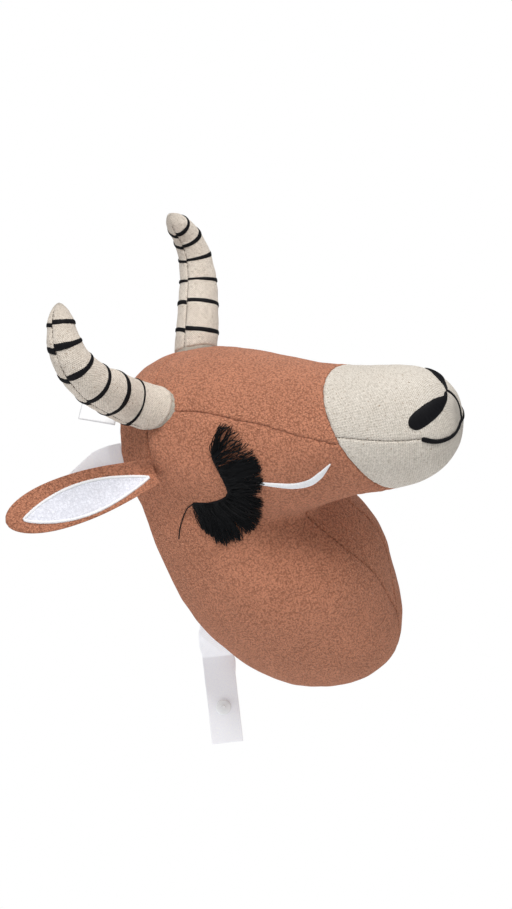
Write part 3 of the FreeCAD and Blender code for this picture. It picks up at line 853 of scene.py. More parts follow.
def cover_pieces(hull):
    """Cut the hull at its seams and make every panel."""
    shape = bmesh.new()
    shape.from_mesh(hull.data)
    undulate(shape)
    for value, area in SEAMS.lines():
        split_along(shape, value, area)
    cut_back(shape)
    shape.normal_update()
    shape.verts.ensure_lookup_table()
    shape.verts.index_update()
    normals = np.array([v.normal for v in shape.verts])
    faces = shape.faces[:]
    number = SEAMS.panel(np.array([face.calc_center_median() for face in faces]))
    for index, node in enumerate(PANELS[:-1]):
        kind = "linen" if node.startswith("muzzle") else "felt"
        material, thickness = COVER[kind]
        chosen = [face for face, n in zip(faces, number) if n == index]
        item, points = panel_piece(f"{node}_{kind}", shape, normals, chosen, thickness)
        if kind == "linen":
            pattern = muzzle_pattern(points)
            set_pattern(item, np.concatenate([pattern, pattern]))
        finish_piece(item, material, kind, "root", node)
    back_edge(shape)
    filling(shape, normals)
    shape.free()


HULL = stuffed_hull()
HULL_TREE = tree_of(HULL)
cover_pieces(HULL)
bpy.data.objects.remove(HULL)


def onto_hull(flat, view):
    """Points drawn as (x, z) from the front or as (y, z) from a side, thrown onto the hull."""
    places = []
    direction = Vector((0, 1, 0) if view == "front" else (-SIDES[view], 0, 0))
    for across, z in flat:
        point = Vector((across, 0, z) if view == "front" else (0, across, z))
        hit = HULL_TREE.ray_cast(point - direction * 0.5, direction)[0]
        places.append(hit if hit is not None else HULL_TREE.find_nearest(point)[0])
    return np.array(places)


def stitched_line(name, path, half_width, height, material, slot, node):
    """Satin stitch along a path on the hull. half_width holds (share of length, half width)."""
    normals = snap(HULL_TREE, path)[1]
    across = unit(np.cross(np.gradient(path, axis=0), normals))
    along = distances_along(path)
    shares, widths = zip(*half_width)
    width = np.interp(along / along[-1], shares, widths) * MM
    cap = rounded(np.minimum(along, along[-1] - along) / np.maximum(width, 1e-6))
    steps = 15 if max(widths) > 3 else 9
    band = satin_band(name, HULL_TREE, path, across, width * cap, height, steps)
    finish_piece(band, material, slot, "root", node)


# ---------------------------------------------------------------- face

def embroider(name, points, view, half_width, height, material, slot, node):
    """Satin stitch along a line of the face, given in millimetres."""
    flat = smooth_path(np.array(points) * MM, 1.5 * MM)
    path = resample(onto_hull(flat, view), THREAD_STEP)
    stitched_line(name, path, half_width, height, material, slot, node)


def face_embroidery():
    """Nostrils, philtrum, mouth and the white cheek stripes."""
    black = (BLACK_SATIN, "black_thread")
    for side in SIDES:
        embroider(f"{side}_nostril_stitch", NOSTRILS[side], "front", NOSTRIL_WIDTH, 1.0 * MM,
                  *black, f"{side}_nostril")
        embroider(f"{side}_cheek_stripe_stitch", STRIPE_PATH, side, STRIPE_WIDTH, 0.8 * MM,
                  WHITE_SATIN, "white_thread", f"{side}_cheek_stripe")
    embroider("philtrum_stitch", PHILTRUM_PATH, "front", PHILTRUM_WIDTH, 0.7 * MM, *black, "philtrum_line")
    embroider("mouth_stitch", MOUTH_PATH, "front", MOUTH_WIDTH, 0.8 * MM, *black, "mouth_line")


def seam_threads(name, dashes, radius, slot):
    """Short stitches that show in a seam."""
    paths = np.array(dashes)
    item = threads(name, paths, np.full(paths.shape[:2], radius) * STITCH_TAPER)
    finish_piece(item, SEAM_THREAD, slot, "root")


def mouth_seam_stitches():
    """The stitches between the upper and the lower muzzle: five of eight steps show."""
    dashes = []
    for side in SIDES:
        y = np.linspace(SEAMS.mouth_rear[1] - 2 * MM, SEAMS.mouth_corner - 1 * MM, 40)
        path = resample(onto_hull(np.stack([y, SEAMS.mouth_z(y)], -1), side), STITCH_PITCH / 8)
        path = path - snap(HULL_TREE, path)[1] * 0.85 * MM
        dashes += [path[start:start + 5] for start in range(0, len(path) - 6, 8)]
    seam_threads("mouth_seam_stitches", dashes, 0.28 * MM, "black_thread")


face_embroidery()
mouth_seam_stitches()

# ---------------------------------------------------------------- horns

STRIPE_HALF_WIDTH = 1.7 * MM
STRIPE_HEIGHT = 0.55 * MM
STRIPE_RELIEF = 1.4 * MM      # from the horn's surface to the middle of a CAD stripe's outside
STRIPE_SLIP = 1.6 * MM        # how far the rear stripes are out of line at a seam
STRIPE_DROOP = {"right": 0.0, "left": 1.8 * MM}   # how far the stripes dip on their low side
STRIPE_LOW_SIDE = math.radians(53)                # the low side, from the front towards the other horn
COLLAR_HEIGHT = 2.6 * MM
HORN_ROOT = 30 * MM           # how far the centre line runs on below the lowest stripe
HORN_ROOT_LEAN = {"right": 15 * MM, "left": -3 * MM}   # how far forward the hidden root is
HORN_WEAVE_RADIUS = 14 * MM
HALVES = {"front": -math.pi / 2, "back": math.pi / 2}   # the angle where each half starts


def ring_parts(name):
    """Centre, axis and outer radius of each stripe ring in a CAD node, from base to tip."""
    shape = bmesh.new()
    shape.from_mesh(frame["nodes"][name].data)
    bmesh.ops.remove_doubles(shape, verts=shape.verts[:], dist=1e-6)
    rings = []
    for part in loose_parts(shape):
        points = points_of(part)
        middle, axes = own_axes(points)
        axis = axes[2] * math.copysign(1, axes[2][2])
        across = unit(np.cross(axis, [0, 1, 0]))
        plane = points - np.outer((points - middle) @ axis, axis)
        spread = np.stack([plane @ across, plane[:, 1]], -1)
        low, high = spread.min(0), spread.max(0)
        x, y = (high + low) / 2
        centre = across * x + np.array([0, y, 0]) + axis * (middle @ axis)
        rings.append((centre, axis, (high - low).mean() / 2))
    shape.free()
    return sorted(rings, key=lambda ring: ring[0][2])


class Horn:
    """A horn's centre line and radius, read from its CAD stripes and tip."""

    def __init__(self, side):
        centres, axes, outer = zip(*ring_parts(f"{side}_horn_stripes"))
        radii = [radius - STRIPE_RELIEF for radius in outer]
        body = node_points(f"{side}_horn_front")
        tip = body[np.argmax((body - centres[-1]) @ axes[-1])]
        near_tip = centres[-1] + (tip - centres[-1]) * 0.62
        base = centres[0] - axes[0] * HORN_ROOT - np.array([0, HORN_ROOT_LEAN[side], 0])
        points = np.array([base, *centres, near_tip, tip])
        self.radii = np.array([radii[0], *radii, radii[-1] * 0.66, 0.0])
        self.path = smooth_path(points, 0.6 * MM)
        self.along = distances_along(self.path)
        self.knots = np.array([self.along[np.argmin(np.linalg.norm(self.path - p, axis=1))] for p in points])
        self.tangent = unit(np.gradient(self.path, axis=0))
        self.sign = SIDES[side]

    def radius(self, s):
        """Radius at a distance from the base, rounded at the tip."""
        last = self.knots[-3]
        body = np.interp(s, self.knots[:-2], self.radii[:-2])
        share = np.clip((s - last) / (self.knots[-1] - last), 0, 1)
        return np.where(s > last, self.radii[-3] * np.maximum(1 - share ** 1.4, 0) ** 0.64, body)

    def point(self, s, angle, lift=0.0):
        """A point of the surface; angle 0 is the front, 90 degrees the side towards the other horn."""
        centre = np.stack([np.interp(s, self.along, values) for values in self.path.T], -1)
        tangent = unit(np.stack([np.interp(s, self.along, values) for values in self.tangent.T], -1))
        forward = np.array([0.0, -1.0, 0.0])
        front = unit(forward - tangent * (tangent @ forward)[..., None])
        inner = np.cross(front, tangent) * self.sign
        radial = front * np.cos(angle)[..., None] + inner * np.sin(angle)[..., None]
        return centre + radial * (self.radius(s) + lift)[..., None], radial


def horn_relief(horn, s, points, seam_gap):
    """Height of the cloth: grooved seams, puckers beside them and slow dents."""
    groove = -0.75 * MM * np.exp(-(seam_gap / (1.1 * MM)) ** 2)
    pucker = 0.25 * MM * waves(points, 5.5 * MM, 8) * np.exp(-seam_gap / (5 * MM))
    dents = 0.22 * MM * waves(points, 16 * MM, 9)
    fade = np.clip((horn.knots[-1] - s) / (10 * MM), 0, 1)
    return (groove + pucker + dents) * fade


def horn_base(horn):
    """Distance along the horn where it leaves the hull, as a function of the angle."""
    angles = np.linspace(-math.pi, math.pi, 49)
    s = np.arange(0, 60 * MM, 0.5 * MM)
    heights = []
    for angle in angles:
        points = horn.point(s, np.full(len(s), angle))[0]
        places, normals = snap(HULL_TREE, points)
        outside = ((points - places) * normals).sum(1) > 0
        heights.append(s[np.argmax(outside)] if outside.any() else 20 * MM)
    kernel = np.array([1, 2, 3, 2, 1]) / 9
    smooth = np.convolve(np.concatenate([heights[-3:-1], heights, heights[1:3]]), kernel, mode="valid")
    return lambda angle: np.interp((angle + math.pi) % TURN - math.pi, angles, smooth)


def horn_half(side, horn, base, half):
    """One linen half of a horn, from seam to seam, its lower edge turned in."""
    angle = HALVES[half] + np.linspace(0, math.pi, 61)[None]
    share = np.linspace(0, 1, 150)[:, None] ** 0.95
    lower = base(angle) + COLLAR_HEIGHT
    s = lower + (horn.knots[-1] - lower) * share
    seam_gap = np.minimum(angle - angle[0, 0], angle[0, -1] - angle) * horn.radius(s)
    relief = horn_relief(horn, s, horn.point(s, angle)[0], seam_gap)
    hem = np.clip(1 - (s - lower) / (1.8 * MM), 0, 1)
    top, radial = horn.point(s, angle, relief - 1.1 * MM * (1 - np.sqrt(1 - hem ** 2)))
    bottom = top - radial * np.minimum(LINEN_THICKNESS, 0.5 * horn.radius(s))[..., None]
    item = closed_sheet(f"{side}_horn_{half}_linen", top, bottom, pattern=(angle * HORN_WEAVE_RADIUS, s))
    finish_piece(item, HORN_LINEN, "linen", "root", f"{side}_horn_{half}")


def horn_collar(side, horn, base):
    """The turned-in linen that shows between the horn and the felt, coloured grey as painted shade of the gap
    under the horn.
    """
    angle = np.linspace(-math.pi, math.pi, 97)[:-1, None]
    s = base(angle) + np.linspace(-5 * MM, COLLAR_HEIGHT + 2.5 * MM, 12)[None]
    points, radial = horn.point(s, angle)
    top = points + radial * (0.25 * MM * waves(points, 4.5 * MM, 12) - 1.0 * MM)[..., None]
    item = closed_sheet(f"{side}_horn_collar", top, top - radial * 1.2 * MM,
                        pattern=(angle * HORN_WEAVE_RADIUS, s), wrap=True)
    finish_piece(item, SHADED_COLLAR_LINEN, "linen", "root")


def stripe_half(side, horn, number, half):
    """One half of a satin stripe; the halves meet out of line at the seams."""
    knot = horn.knots[number + 1]
    radius = float(horn.radius(knot))
    count = round(math.pi * radius / THREAD_STEP)
    angles = HALVES[half] + np.linspace(0.02, math.pi - 0.02, count)
    gap = np.minimum(angles - angles[0], angles[-1] - angles) * radius
    if half == "back":
        slip = -STRIPE_SLIP * np.exp(-gap / (6 * MM))
    else:
        slip = 0.25 * STRIPE_SLIP * np.exp(-gap / (4 * MM))
    droop = STRIPE_DROOP[side] * np.cos(angles - STRIPE_LOW_SIDE)
    edge = satin_edge(STRIPE_HALF_WIDTH * (1 + 0.08 * math.sin(number * 2.1)), count)
    t = np.linspace(-1, 1, 9)
    s = (knot + slip - droop)[:, None] + edge[:, None] * t
    angle = angles[:, None]
    seam_dip = -0.5 * MM * np.exp(-(gap / (1.2 * MM)) ** 2)
    lift = satin_height(STRIPE_HEIGHT, t, np.arange(count) / THREAD_SAMPLES) + seam_dip[:, None]
    top = horn.point(s, angle, lift)[0]
    bottom = horn.point(s, angle, -0.9 * MM)[0]
    return closed_sheet(f"stripe_{number}_{half}", top, bottom, pattern=(angle * radius, s))


def horn_stripes(side, horn):
    """Six satin stripes, each in two halves."""
    stripes = range(len(horn.knots) - 3)
    pieces = [stripe_half(side, horn, number, half) for number in stripes for half in HALVES]
    item = join_pieces(f"{side}_horn_stripes_stitch", pieces)
    finish_piece(item, BLACK_SATIN, "black_thread", "root", f"{side}_horn_stripes")


def horn_filling(side, horn):
    """The filling inside a horn."""
    angle = np.linspace(-math.pi, math.pi, 33)[:-1, None]
    s = np.broadcast_to(np.linspace(8 * MM, horn.knots[-1] - 3 * MM, 60), (len(angle), 60))
    outside = horn.point(s, angle, -np.minimum(2.4 * MM, 0.7 * horn.radius(s)))[0]
    middle = horn.point(s, angle, -0.85 * horn.radius(s))[0]
    item = closed_sheet(f"{side}_horn_filling_soft", outside, middle, wrap=True)
    finish_piece(item, FIBRE, "filling", "root", f"{side}_horn_filling")


def horn_seam_stitches(side, horn, base):
    """Dashes of thread that show in the two seams of a horn."""
    dashes = []
    for angle in (math.pi / 2, -math.pi / 2):
        first = float(base(angle)) + COLLAR_HEIGHT + 1 * MM
        for s in np.arange(first, horn.knots[-1] - 5 * MM, STITCH_PITCH):
            along = np.linspace(s, s + STITCH_LENGTH, len(STITCH_TAPER))
            dashes.append(horn.point(along, np.full(len(along), angle), -0.62 * MM)[0])
    seam_threads(f"{side}_horn_seam_stitches", dashes, 0.24 * MM, "linen")


def horn_pieces(side):
    """Every piece of one horn."""
    horn = Horn(side)
    base = horn_base(horn)
    for half in HALVES:
        horn_half(side, horn, base, half)
    horn_collar(side, horn, base)
    horn_stripes(side, horn)
    horn_filling(side, horn)
    horn_seam_stitches(side, horn, base)


for horn_side in SIDES:
    horn_pieces(horn_side)

# ---------------------------------------------------------------- ears

EAR_CUP = 6.5 * MM            # how far the folded root lifts the ear's edges
EAR_BOW = 5.0 * MM            # how far the ear bends back along its length
EAR_EMBED = 3.5 * MM          # how far the root runs into the seam
EAR_BEND = 14 * MM            # how far out from its seam the second bend point of the ear lies; nothing bends the ear
EAR_SHIFT = -2.0 * MM         # the felt sits off the hinge line, towards the ear's upper edge
EAR_FULLEST = 0.52            # share of the length where the ear is widest
EAR_LAYERS = {"front": (0.06 * MM, 2.0 * MM), "back": (-2.0 * MM, -0.06 * MM)}
LINING_SHIFT = 0.6 * MM
LINING_LEVELS = (1.7 * MM, 2.75 * MM)
BORDER_HALF_WIDTH = 1.15 * MM
BORDER_HEIGHT = 1.25 * MM


class Ear:
    """The ear's own coordinates, read from its two CAD layers: along, across and out of the lining."""

    def __init__(self, side):
        front = node_points(f"{side}_ear_front")
        back = node_points(f"{side}_ear_back")
        points = np.concatenate([front, back])
        centre, axes = own_axes(points)
        self.root = joint(f"{side}_ear_swing")[0]
        self.along = axes[0] * math.copysign(1, (centre - self.root) @ axes[0])
        self.out = axes[2] * math.copysign(1, (front.mean(0) - back.mean(0)) @ axes[2])
        self.across = np.cross(self.out, self.along)
        reach = (points - self.root) @ self.along
        self.start = reach.min() - EAR_EMBED
        self.length = reach.max() - self.start
        self.half_width = np.ptp((points - self.root) @ self.across) / 2
        self.sign = -SIDES[side]
        self.bend = (self.root - self.along * EAR_EMBED, self.root + self.along * EAR_BEND)

    def outline(self, u):
        """Half width at a share u of the length: pinched root, round tip."""
        rise = 0.60 + 0.40 * np.sin(np.clip(u / EAR_FULLEST, 0, 1) * math.pi / 2)
        past = np.clip(u - EAR_FULLEST, 0, 1) / (1 - EAR_FULLEST)
        fall = np.sqrt(np.clip(1 - past ** 2.3, 0, 1))
        return self.half_width * rise * np.maximum(fall, 0.02)

    def surface(self, u, v, lift):
        """A point at shares u along and v across (-1 to 1), raised by lift."""
        cup = EAR_CUP * (1 - u) ** 1.6 * v ** 2 + 1.6 * MM * v ** 2 * (1 - u) - 0.8 * MM * v ** 2 * u
        ripple = 0.5 * MM * np.sin(u * 9.0 + v * 2.0) * u
        narrow = 1 - 0.18 * (1 - u) ** 2
        height = lift + cup - EAR_BOW * u ** 2 + ripple
        return (self.root + self.along * (self.start + u * self.length)[..., None]
                + self.across * (self.outline(u) * v * narrow + EAR_SHIFT * self.sign)[..., None]
                + self.out * height[..., None])


def ear_layer(side, ear, layer):
    """One felt layer with a rounded edge."""
    u, v = np.meshgrid(np.linspace(0, 1, 110), np.sin(np.linspace(-1, 1, 41) * math.pi / 2), indexing="ij")
    edge = np.minimum((1 - np.abs(v)) * ear.half_width, (1 - u) * ear.length)
    low, high = EAR_LAYERS[layer]
    middle = (low + high) / 2 + 0.12 * MM * waves(np.stack([u, v, 0 * u], -1) * 50 * MM, 9 * MM, 21)
    half = (high - low) / 2 * (0.15 + 0.85 * rounded(edge / (1.3 * MM)))
    item = closed_sheet(f"{side}_ear_{layer}_felt", ear.surface(u, v, middle + half),
                        ear.surface(u, v, middle - half))
    finish_piece(item, FELT, "felt", f"{side}_ear", f"{side}_ear_{layer}", bend=ear.bend)
    return item


def lens_half_width(share, width):
    """Half width of the lining, pointed at both ends and fullest past the middle."""
    return width * np.sin(np.clip(share, 0, 1) * math.pi) ** 0.8 * (0.88 + 0.16 * share)


def ear_lining(side, ear, front):
    """The white lining and its satin border."""
    points = node_points(f"{side}_ear_lining") - ear.root
    reach = points @ ear.along
    start, end = reach.min() - 1 * MM, reach.max()
    share = np.linspace(0, 1, 120)
    u = (start + (end - start) * share - ear.start) / ear.length
    outline = np.maximum(ear.outline(u), 1e-6)
    half = lens_half_width(share, np.ptp(points @ ear.across) / 2) / outline
    off = (LINING_SHIFT - EAR_SHIFT) * ear.sign / outline
    v = np.linspace(-1, 1, 31)
    grid = (u[:, None], off[:, None] + half[:, None] * v)
    edge_drop = 0.5 * MM * np.clip(np.abs(v) - 0.85, 0, 1) / 0.15
    top = ear.surface(*grid, LINING_LEVELS[1] - edge_drop)
    item = closed_sheet(f"{side}_ear_lining_felt", top, ear.surface(*grid, LINING_LEVELS[0]))
    finish_piece(item, WHITE_FELT, "white_felt", f"{side}_ear", f"{side}_ear_lining", bend=ear.bend)
    tree = tree_of(front)
    bands = []
    for edge in (-1, 1):
        path = resample(ear.surface(u, off + half * edge, 2.2 * MM), THREAD_STEP)
        across = unit(np.cross(np.gradient(path, axis=0), ear.out))
        width = np.full(len(path), BORDER_HALF_WIDTH)
        bands.append(satin_band(f"border_{edge}", tree, path, across, width, BORDER_HEIGHT))
    border = join_pieces(f"{side}_ear_border_stitch", bands)
    finish_piece(border, WHITE_SATIN, "white_thread", f"{side}_ear", f"{side}_ear_border", bend=ear.bend)


for ear_side in SIDES:
    own_ear = Ear(ear_side)
    front_layer = ear_layer(ear_side, own_ear, "front")
    ear_layer(ear_side, own_ear, "back")
    ear_lining(ear_side, own_ear, front_layer)

# ---------------------------------------------------------------- eyelashes

LASH_COUNT = 1150
LASH_LOOSE = 46               # threads among them that are sewn to the sparse part
LASH_SPARSE = 0.24            # share of the sewn edge at the top with few, looser threads
LASH_STEPS = 10
LASH_RADIUS = 0.21 * MM
LASH_TUFTS = 46
CORD_COUNT = 60
CORD_RADIUS = 0.34 * MM
TAIL_RADIUS = 0.45 * MM
# The sewn edge of the lash and the ends of its threads as (y, height), in millimetres.
LASH_EDGE = ((-82.5, 93.0), (-82.0, 90.5), (-82.5, 86.5), (-84.0, 80.0), (-85.0, 72.0), (-85.2, 65.0),
             (-84.3, 60.0), (-81.0, 56.5), (-76.5, 54.8), (-71.0, 54.0), (-65.0, 54.0), (-59.0, 54.8),
             (-53.5, 56.2))
LASH_ENDS = ((-89.0, 109.0), (-98.0, 105.5), (-107.0, 94.5), (-112.0, 84.0), (-112.5, 74.0),
             (-109.5, 62.5), (-102.5, 48.0), (-95.0, 32.5), (-87.0, 20.5), (-77.0, 17.5), (-66.5, 18.5),
             (-58.5, 24.5), (-52.0, 35.0))
LASH_TAIL = ((-54.0, 56.0), (-47.0, 52.5), (-42.5, 48.0), (-38.5, 42.5), (-34.5, 36.0), (-31.0, 28.5))
BAND_WIDTH = ((0, 0.8), (0.1, 1.2), (0.9, 1.2), (1, 1.0))


def along_points(points, share):
    """Places at shares of a list of points."""
    knots = np.linspace(0, 1, len(points))
    return np.stack([np.interp(share, knots, values) for values in np.transpose(points)], -1)


def lay_on_cheek(side, lines, level):
    """Lines given as (y, height) laid on the cheek at a height above it, in millimetres."""
    places, normals = snap(HULL_TREE, onto_hull(lines.reshape(-1, 2) * MM, side))
    return (places + normals * (level.reshape(-1, 1) * MM)).reshape(lines.shape[:2] + (3,))


def strand_lines(source, roots, ends, sway):
    """Swaying lines from roots to ends."""
    t = np.linspace(0, 1, LASH_STEPS)
    bend = source.normal(0, sway, (len(roots), 1)) * np.sin(t * math.pi)
    bend += source.normal(0, sway * 0.55, (len(roots), 1)) * np.sin(t * TURN)
    direction = unit(ends - roots)
    sideways = np.stack([-direction[:, 1], direction[:, 0]], -1)
    return roots[:, None] + (ends - roots)[:, None] * t[:, None] + sideways[:, None] * bend[..., None]


def lash_fringe(side, source):
    """Thread ends that fan out over the cheek in tufts."""
    dense = source.uniform(LASH_SPARSE, 1, LASH_COUNT - LASH_LOOSE)
    share = np.sort(np.concatenate([dense, source.uniform(0, LASH_SPARSE, LASH_LOOSE)]))
    number = np.floor(share * LASH_TUFTS).astype(int)
    tuft = (number + 0.5) / LASH_TUFTS
    gather = source.normal(0, 0.011, LASH_TUFTS + 1)[number]
    end_share = tuft + (share - tuft) * 0.55 + gather + source.normal(0, 0.011, LASH_COUNT)
    roots = along_points(LASH_EDGE, share) + source.normal(0, 0.35, (LASH_COUNT, 2))
    longer = source.normal(0, 0.045, LASH_TUFTS + 1)[number]
    reach = 0.97 + longer + source.normal(0, 0.035, LASH_COUNT)
    short = source.uniform(0, 1, LASH_COUNT) < 0.4
    reach *= np.where(short, source.uniform(0.5, 0.95, LASH_COUNT), 1)
    ends = roots + (along_points(LASH_ENDS, np.clip(end_share, 0, 1)) - roots) * reach[:, None]
    t = np.linspace(0, 1, LASH_STEPS)
    level = source.uniform(0.35, 2.6, (LASH_COUNT, 1)) * np.sin(np.clip(t * 1.6, 0.15, 1) * math.pi / 2)
    level += source.normal(0, 0.5, (LASH_COUNT, 1)).clip(-0.8, 1.6) * t ** 2
    paths = lay_on_cheek(side, strand_lines(source, roots, ends, 1.25), np.maximum(level, 0.3))
    radii = LASH_RADIUS * np.ones((LASH_COUNT, LASH_STEPS)) * source.uniform(0.8, 1.3, (LASH_COUNT, 1))
    return threads(f"{side}_lash_threads", paths, radii)


def loose_cords(side, source):
    """Thicker curling cords that lie on the fringe, half of them at its upper end."""
    half = CORD_COUNT // 2
    share = np.concatenate([source.uniform(0, LASH_SPARSE, half), source.uniform(LASH_SPARSE, 0.98, half)])
    roots = along_points(LASH_EDGE, share)
    ends = roots + (along_points(LASH_ENDS, share) - roots) * source.uniform(0.75, 1.04, (len(share), 1))
    lines = strand_lines(source, roots, ends, 2.4)
    level = np.full(lines.shape[:2], 1.1) + source.uniform(0, 2.0, (len(share), 1))
    paths = lay_on_cheek(side, lines, level)
    return threads(f"{side}_lash_cords", paths, np.full(paths.shape[:2], CORD_RADIUS), 6)


def lashes(side):
    """A fringe with loose cords on top, and the band of stitches that holds it."""
    source = np.random.default_rng(31)
    fringe = lash_fringe(side, source)
    item = join_pieces(f"{side}_lash_threads", [fringe, loose_cords(side, source)])
    finish_piece(item, BLACK_THREAD, "black_thread", f"{side}_lash", f"{side}_lash_fringe")
    sewn = along_points(LASH_EDGE, np.linspace(0, 1, 80)) * MM
    path = resample(onto_hull(sewn, side), THREAD_STEP)
    stitched_line(f"{side}_lash_band_stitch", path, BAND_WIDTH, 0.9 * MM,
                  BLACK_SATIN, "black_thread", f"{side}_lash_band")


def loose_thread(side):
    """The long tail of sewing thread at the lower rear corner of the lash."""
    line = smooth_path(LASH_TAIL, 1.5)[None]
    paths = lay_on_cheek(side, line, np.full(line.shape[:2], 0.5))
    item = threads(f"{side}_lash_tail", paths, np.full(paths.shape[:2], TAIL_RADIUS), 8)
    finish_piece(item, BLACK_THREAD, "black_thread", "root")


for lash_side in SIDES:
    lashes(lash_side)
    loose_thread(lash_side)

# ---------------------------------------------------------------- tapes, label and press stud

TUCK_REACH = 7 * MM           # length of ribbon that is drawn into the seam
TUCK_DEPTH = 3.5 * MM
TAPE_BEND = 12 * MM           # how far out from its seam the second bend point of a tape lies; nothing bends the tape
TAPE_VOXEL = 0.45 * MM
LABEL_GAP = 0.55 * MM         # half the room inside the folded label
LABEL_THICKNESS = 0.11 * MM


def tuck_into_seam(points, seam, axis):
    """How far each point of a ribbon moves so that its sewn end runs into the seam of the back."""
    inward = unit((-seam[0], -abs(seam[0]) * 0.5, -seam[2] * 0.4))
    offset = points - seam
    away = np.linalg.norm(offset - np.outer(offset @ axis, axis), axis=1)
    return inward * (TUCK_DEPTH * np.clip(1 - away / TUCK_REACH, 0, 1))[:, None]


def tape_piece(node, material):
    """A tape cut from its CAD shape, with rounded selvedges and a slight wave."""
    item = joined_copy(f"{node}_twill", (node,))
    remesh(item, TAPE_VOXEL, 2)
    points = points_of(item.data.vertices)
    centre, axes = own_axes(points)
    seam, axis = joint(f"{node}_swing")
    wave = 0.5 * MM * waves(points, 38 * MM, 14)
    move_vertices(item, points + axes[2] * wave[:, None] + tuck_into_seam(points, seam, axis))
    item.data.shade_smooth()
    set_pattern(item, (points - centre) @ axes.T)
    out = centre - seam
    out = unit(out - axis * (out @ axis))
    finish_piece(item, material, "tape", node, node, bend=(seam, seam + out * TAPE_BEND))


def care_label():
    """A blank ribbon folded double, its loop outwards."""
    points = node_points("care_label")
    centre, (along, across, out) = own_axes(points)
    root = joint("label_swing")[0]
    along = along * math.copysign(1, (centre - root) @ along)
    spread = (points - root) @ along
    length, start = np.ptp(spread), spread.min()
    width = np.ptp((points - root) @ across) / 2
    middle = root + across * ((centre - root) @ across) + out * ((centre - root) @ out)
    turn = np.linspace(0, 1, 61)
    reach = np.where(turn < 0.5, turn * 2, 2 - turn * 2)
    lift = np.where(turn < 0.5, LABEL_GAP, -LABEL_GAP) * np.sqrt(np.clip((1 - reach) * 14, 0, 1))
    line = middle + along * (start + reach * length)[:, None] + out * (lift + 0.8 * MM * reach ** 2)[:, None]
    v = np.linspace(-1, 1, 25)
    curl = 0.6 * MM * v ** 2
    sheet = line[:, None] + across * (width * v)[:, None] + out * curl[:, None]
    thick = unit(np.cross(np.gradient(sheet, axis=0), across)) * LABEL_THICKNESS
    item = closed_sheet("care_label_satin", sheet + thick, sheet - thick,
                        pattern=((turn * 2 * length)[:, None], (width * v)[None]))
    finish_piece(item, label_material(), "label", "label", "care_label")


def carried_over():
    """CAD parts that keep their own shape and get a material."""
    plastic = plastic_material()
    materials = dict.fromkeys(("stud_post", "stud_cap", "stud_socket", "socket_cap"), plastic)
    materials["stiffener_board"] = board_material()
    for node, material in materials.items():
        mesh = frame["nodes"][node].data
        mesh.materials.clear()
        mesh.materials.append(material)


TAPE = tape_material()
for tape in ("lower_tape", "upper_tape"):
    tape_piece(tape, TAPE)
care_label()
carried_over()

# ---------------------------------------------------------------- floor, light and camera

BACKDROP = (1.0, 1.0, 1.0, 1)      # what the camera sees
BOUNCE = (0.90, 0.90, 0.90, 1)     # what lights the object from below
SKY_STRENGTH = 0.58
FLOOR_SIZE = 400.0
FLOOR_DROP = 0.35
LIGHT_TARGET = Vector((0, -0.1, 0.02))
# Each area light's place, watts, size and colour.
LIGHTS = {
    "key": ((-0.10, -0.75, 1.5), 20, 0.6, (1.0, 0.985, 0.96)),
    "fill": ((-1.1, 0.45, -0.55), 9, 1.0, (0.96, 0.98, 1.0)),
}
CAMERA_AZIMUTH = math.radians(-57)
CAMERA_ELEVATION = math.radians(28)
CAMERA_ROLL = math.radians(21.5)
CAMERA_DISTANCE = 0.780
CAMERA_LENS = 39.5
CAMERA_TARGET = Vector((0, -0.090, 0.020))
CAMERA_AIM = (-0.031, 0.0326)      # how far the view turns right and up from the target


def seen_directly(tree, direct, indirect, out):
    """Use one shader for the camera and another for every other ray."""
    camera_ray = add_node(tree, "ShaderNodeLightPath", {}).outputs["Is Camera Ray"]
    mix = add_node(tree, "ShaderNodeMixShader", {0: camera_ray, 1: indirect.outputs[0], 2: direct.outputs[0]})
    tree.links.new(mix.outputs[0], tree.nodes[out].inputs["Surface"])


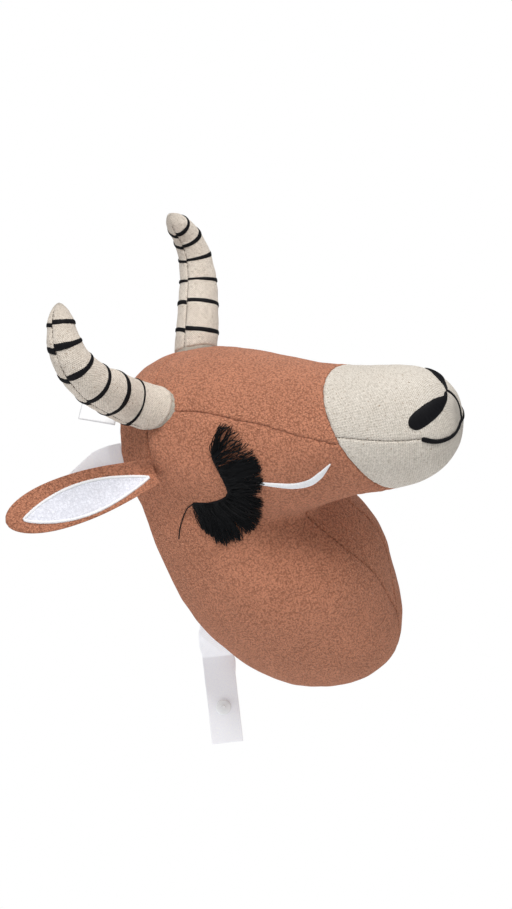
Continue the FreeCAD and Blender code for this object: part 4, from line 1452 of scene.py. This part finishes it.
def floor():
    """A plain pale floor well below the object."""
    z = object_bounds()[0].z - FLOOR_DROP
    corners = [(x * FLOOR_SIZE, y * FLOOR_SIZE, z) for x, y in ((-1, -1), (1, -1), (1, 1), (-1, 1))]
    item = make_object("floor", corners, [[0, 1, 2, 3]])
    pale = Surface("pale_floor", {"Base Color": BOUNCE, "Roughness": 0.9})
    glow = add_node(pale.tree, "ShaderNodeEmission", {"Color": BACKDROP})
    seen_directly(pale.tree, glow, pale.shader, "Material Output")
    item.data.materials.append(pale.material)
    item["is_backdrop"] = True


def world():
    """An even white sky that lights the object and is white behind it."""
    scene = bpy.context.scene
    scene.world = bpy.data.worlds.new("studio")
    scene.world.use_nodes = True
    tree = scene.world.node_tree
    sky = tree.nodes["Background"]
    sky.inputs["Color"].default_value = BACKDROP
    sky.inputs["Strength"].default_value = SKY_STRENGTH
    plain = add_node(tree, "ShaderNodeBackground", {"Color": BACKDROP})
    seen_directly(tree, plain, sky, "World Output")
    scene.view_settings.view_transform = "Standard"


def area_light(name, place, power, size, colour):
    data = bpy.data.lights.new(name, "AREA")
    data.energy = power
    data.size = size
    data.color = colour
    item = add_object(name, data)
    item.location = place
    item.rotation_euler = (LIGHT_TARGET - Vector(place)).to_track_quat("-Z", "Y").to_euler()


def camera():
    """A rolled three-quarter view from the front right and above."""
    level = math.cos(CAMERA_ELEVATION)
    back = Vector((math.sin(CAMERA_AZIMUTH) * level, -math.cos(CAMERA_AZIMUTH) * level,
                   math.sin(CAMERA_ELEVATION)))
    level_right = Vector((math.cos(CAMERA_AZIMUTH), math.sin(CAMERA_AZIMUTH), 0))
    level_up = back.cross(level_right)
    right = level_right * math.cos(CAMERA_ROLL) - level_up * math.sin(CAMERA_ROLL)
    up = level_up * math.cos(CAMERA_ROLL) + level_right * math.sin(CAMERA_ROLL)
    forward = (-back + right * CAMERA_AIM[0] + up * CAMERA_AIM[1]).normalized()
    right = forward.cross(up).normalized()
    up = right.cross(forward)
    data = bpy.data.cameras.new("camera")
    data.lens = CAMERA_LENS
    item = add_object("camera", data)
    matrix = item.matrix_world.copy()
    for column, vector in enumerate((right, up, -forward, CAMERA_TARGET + back * CAMERA_DISTANCE)):
        matrix.col[column][:3] = vector
    item.matrix_world = matrix
    bpy.context.scene.camera = item


floor()
world()
for light, settings in LIGHTS.items():
    area_light(light, *settings)
camera()
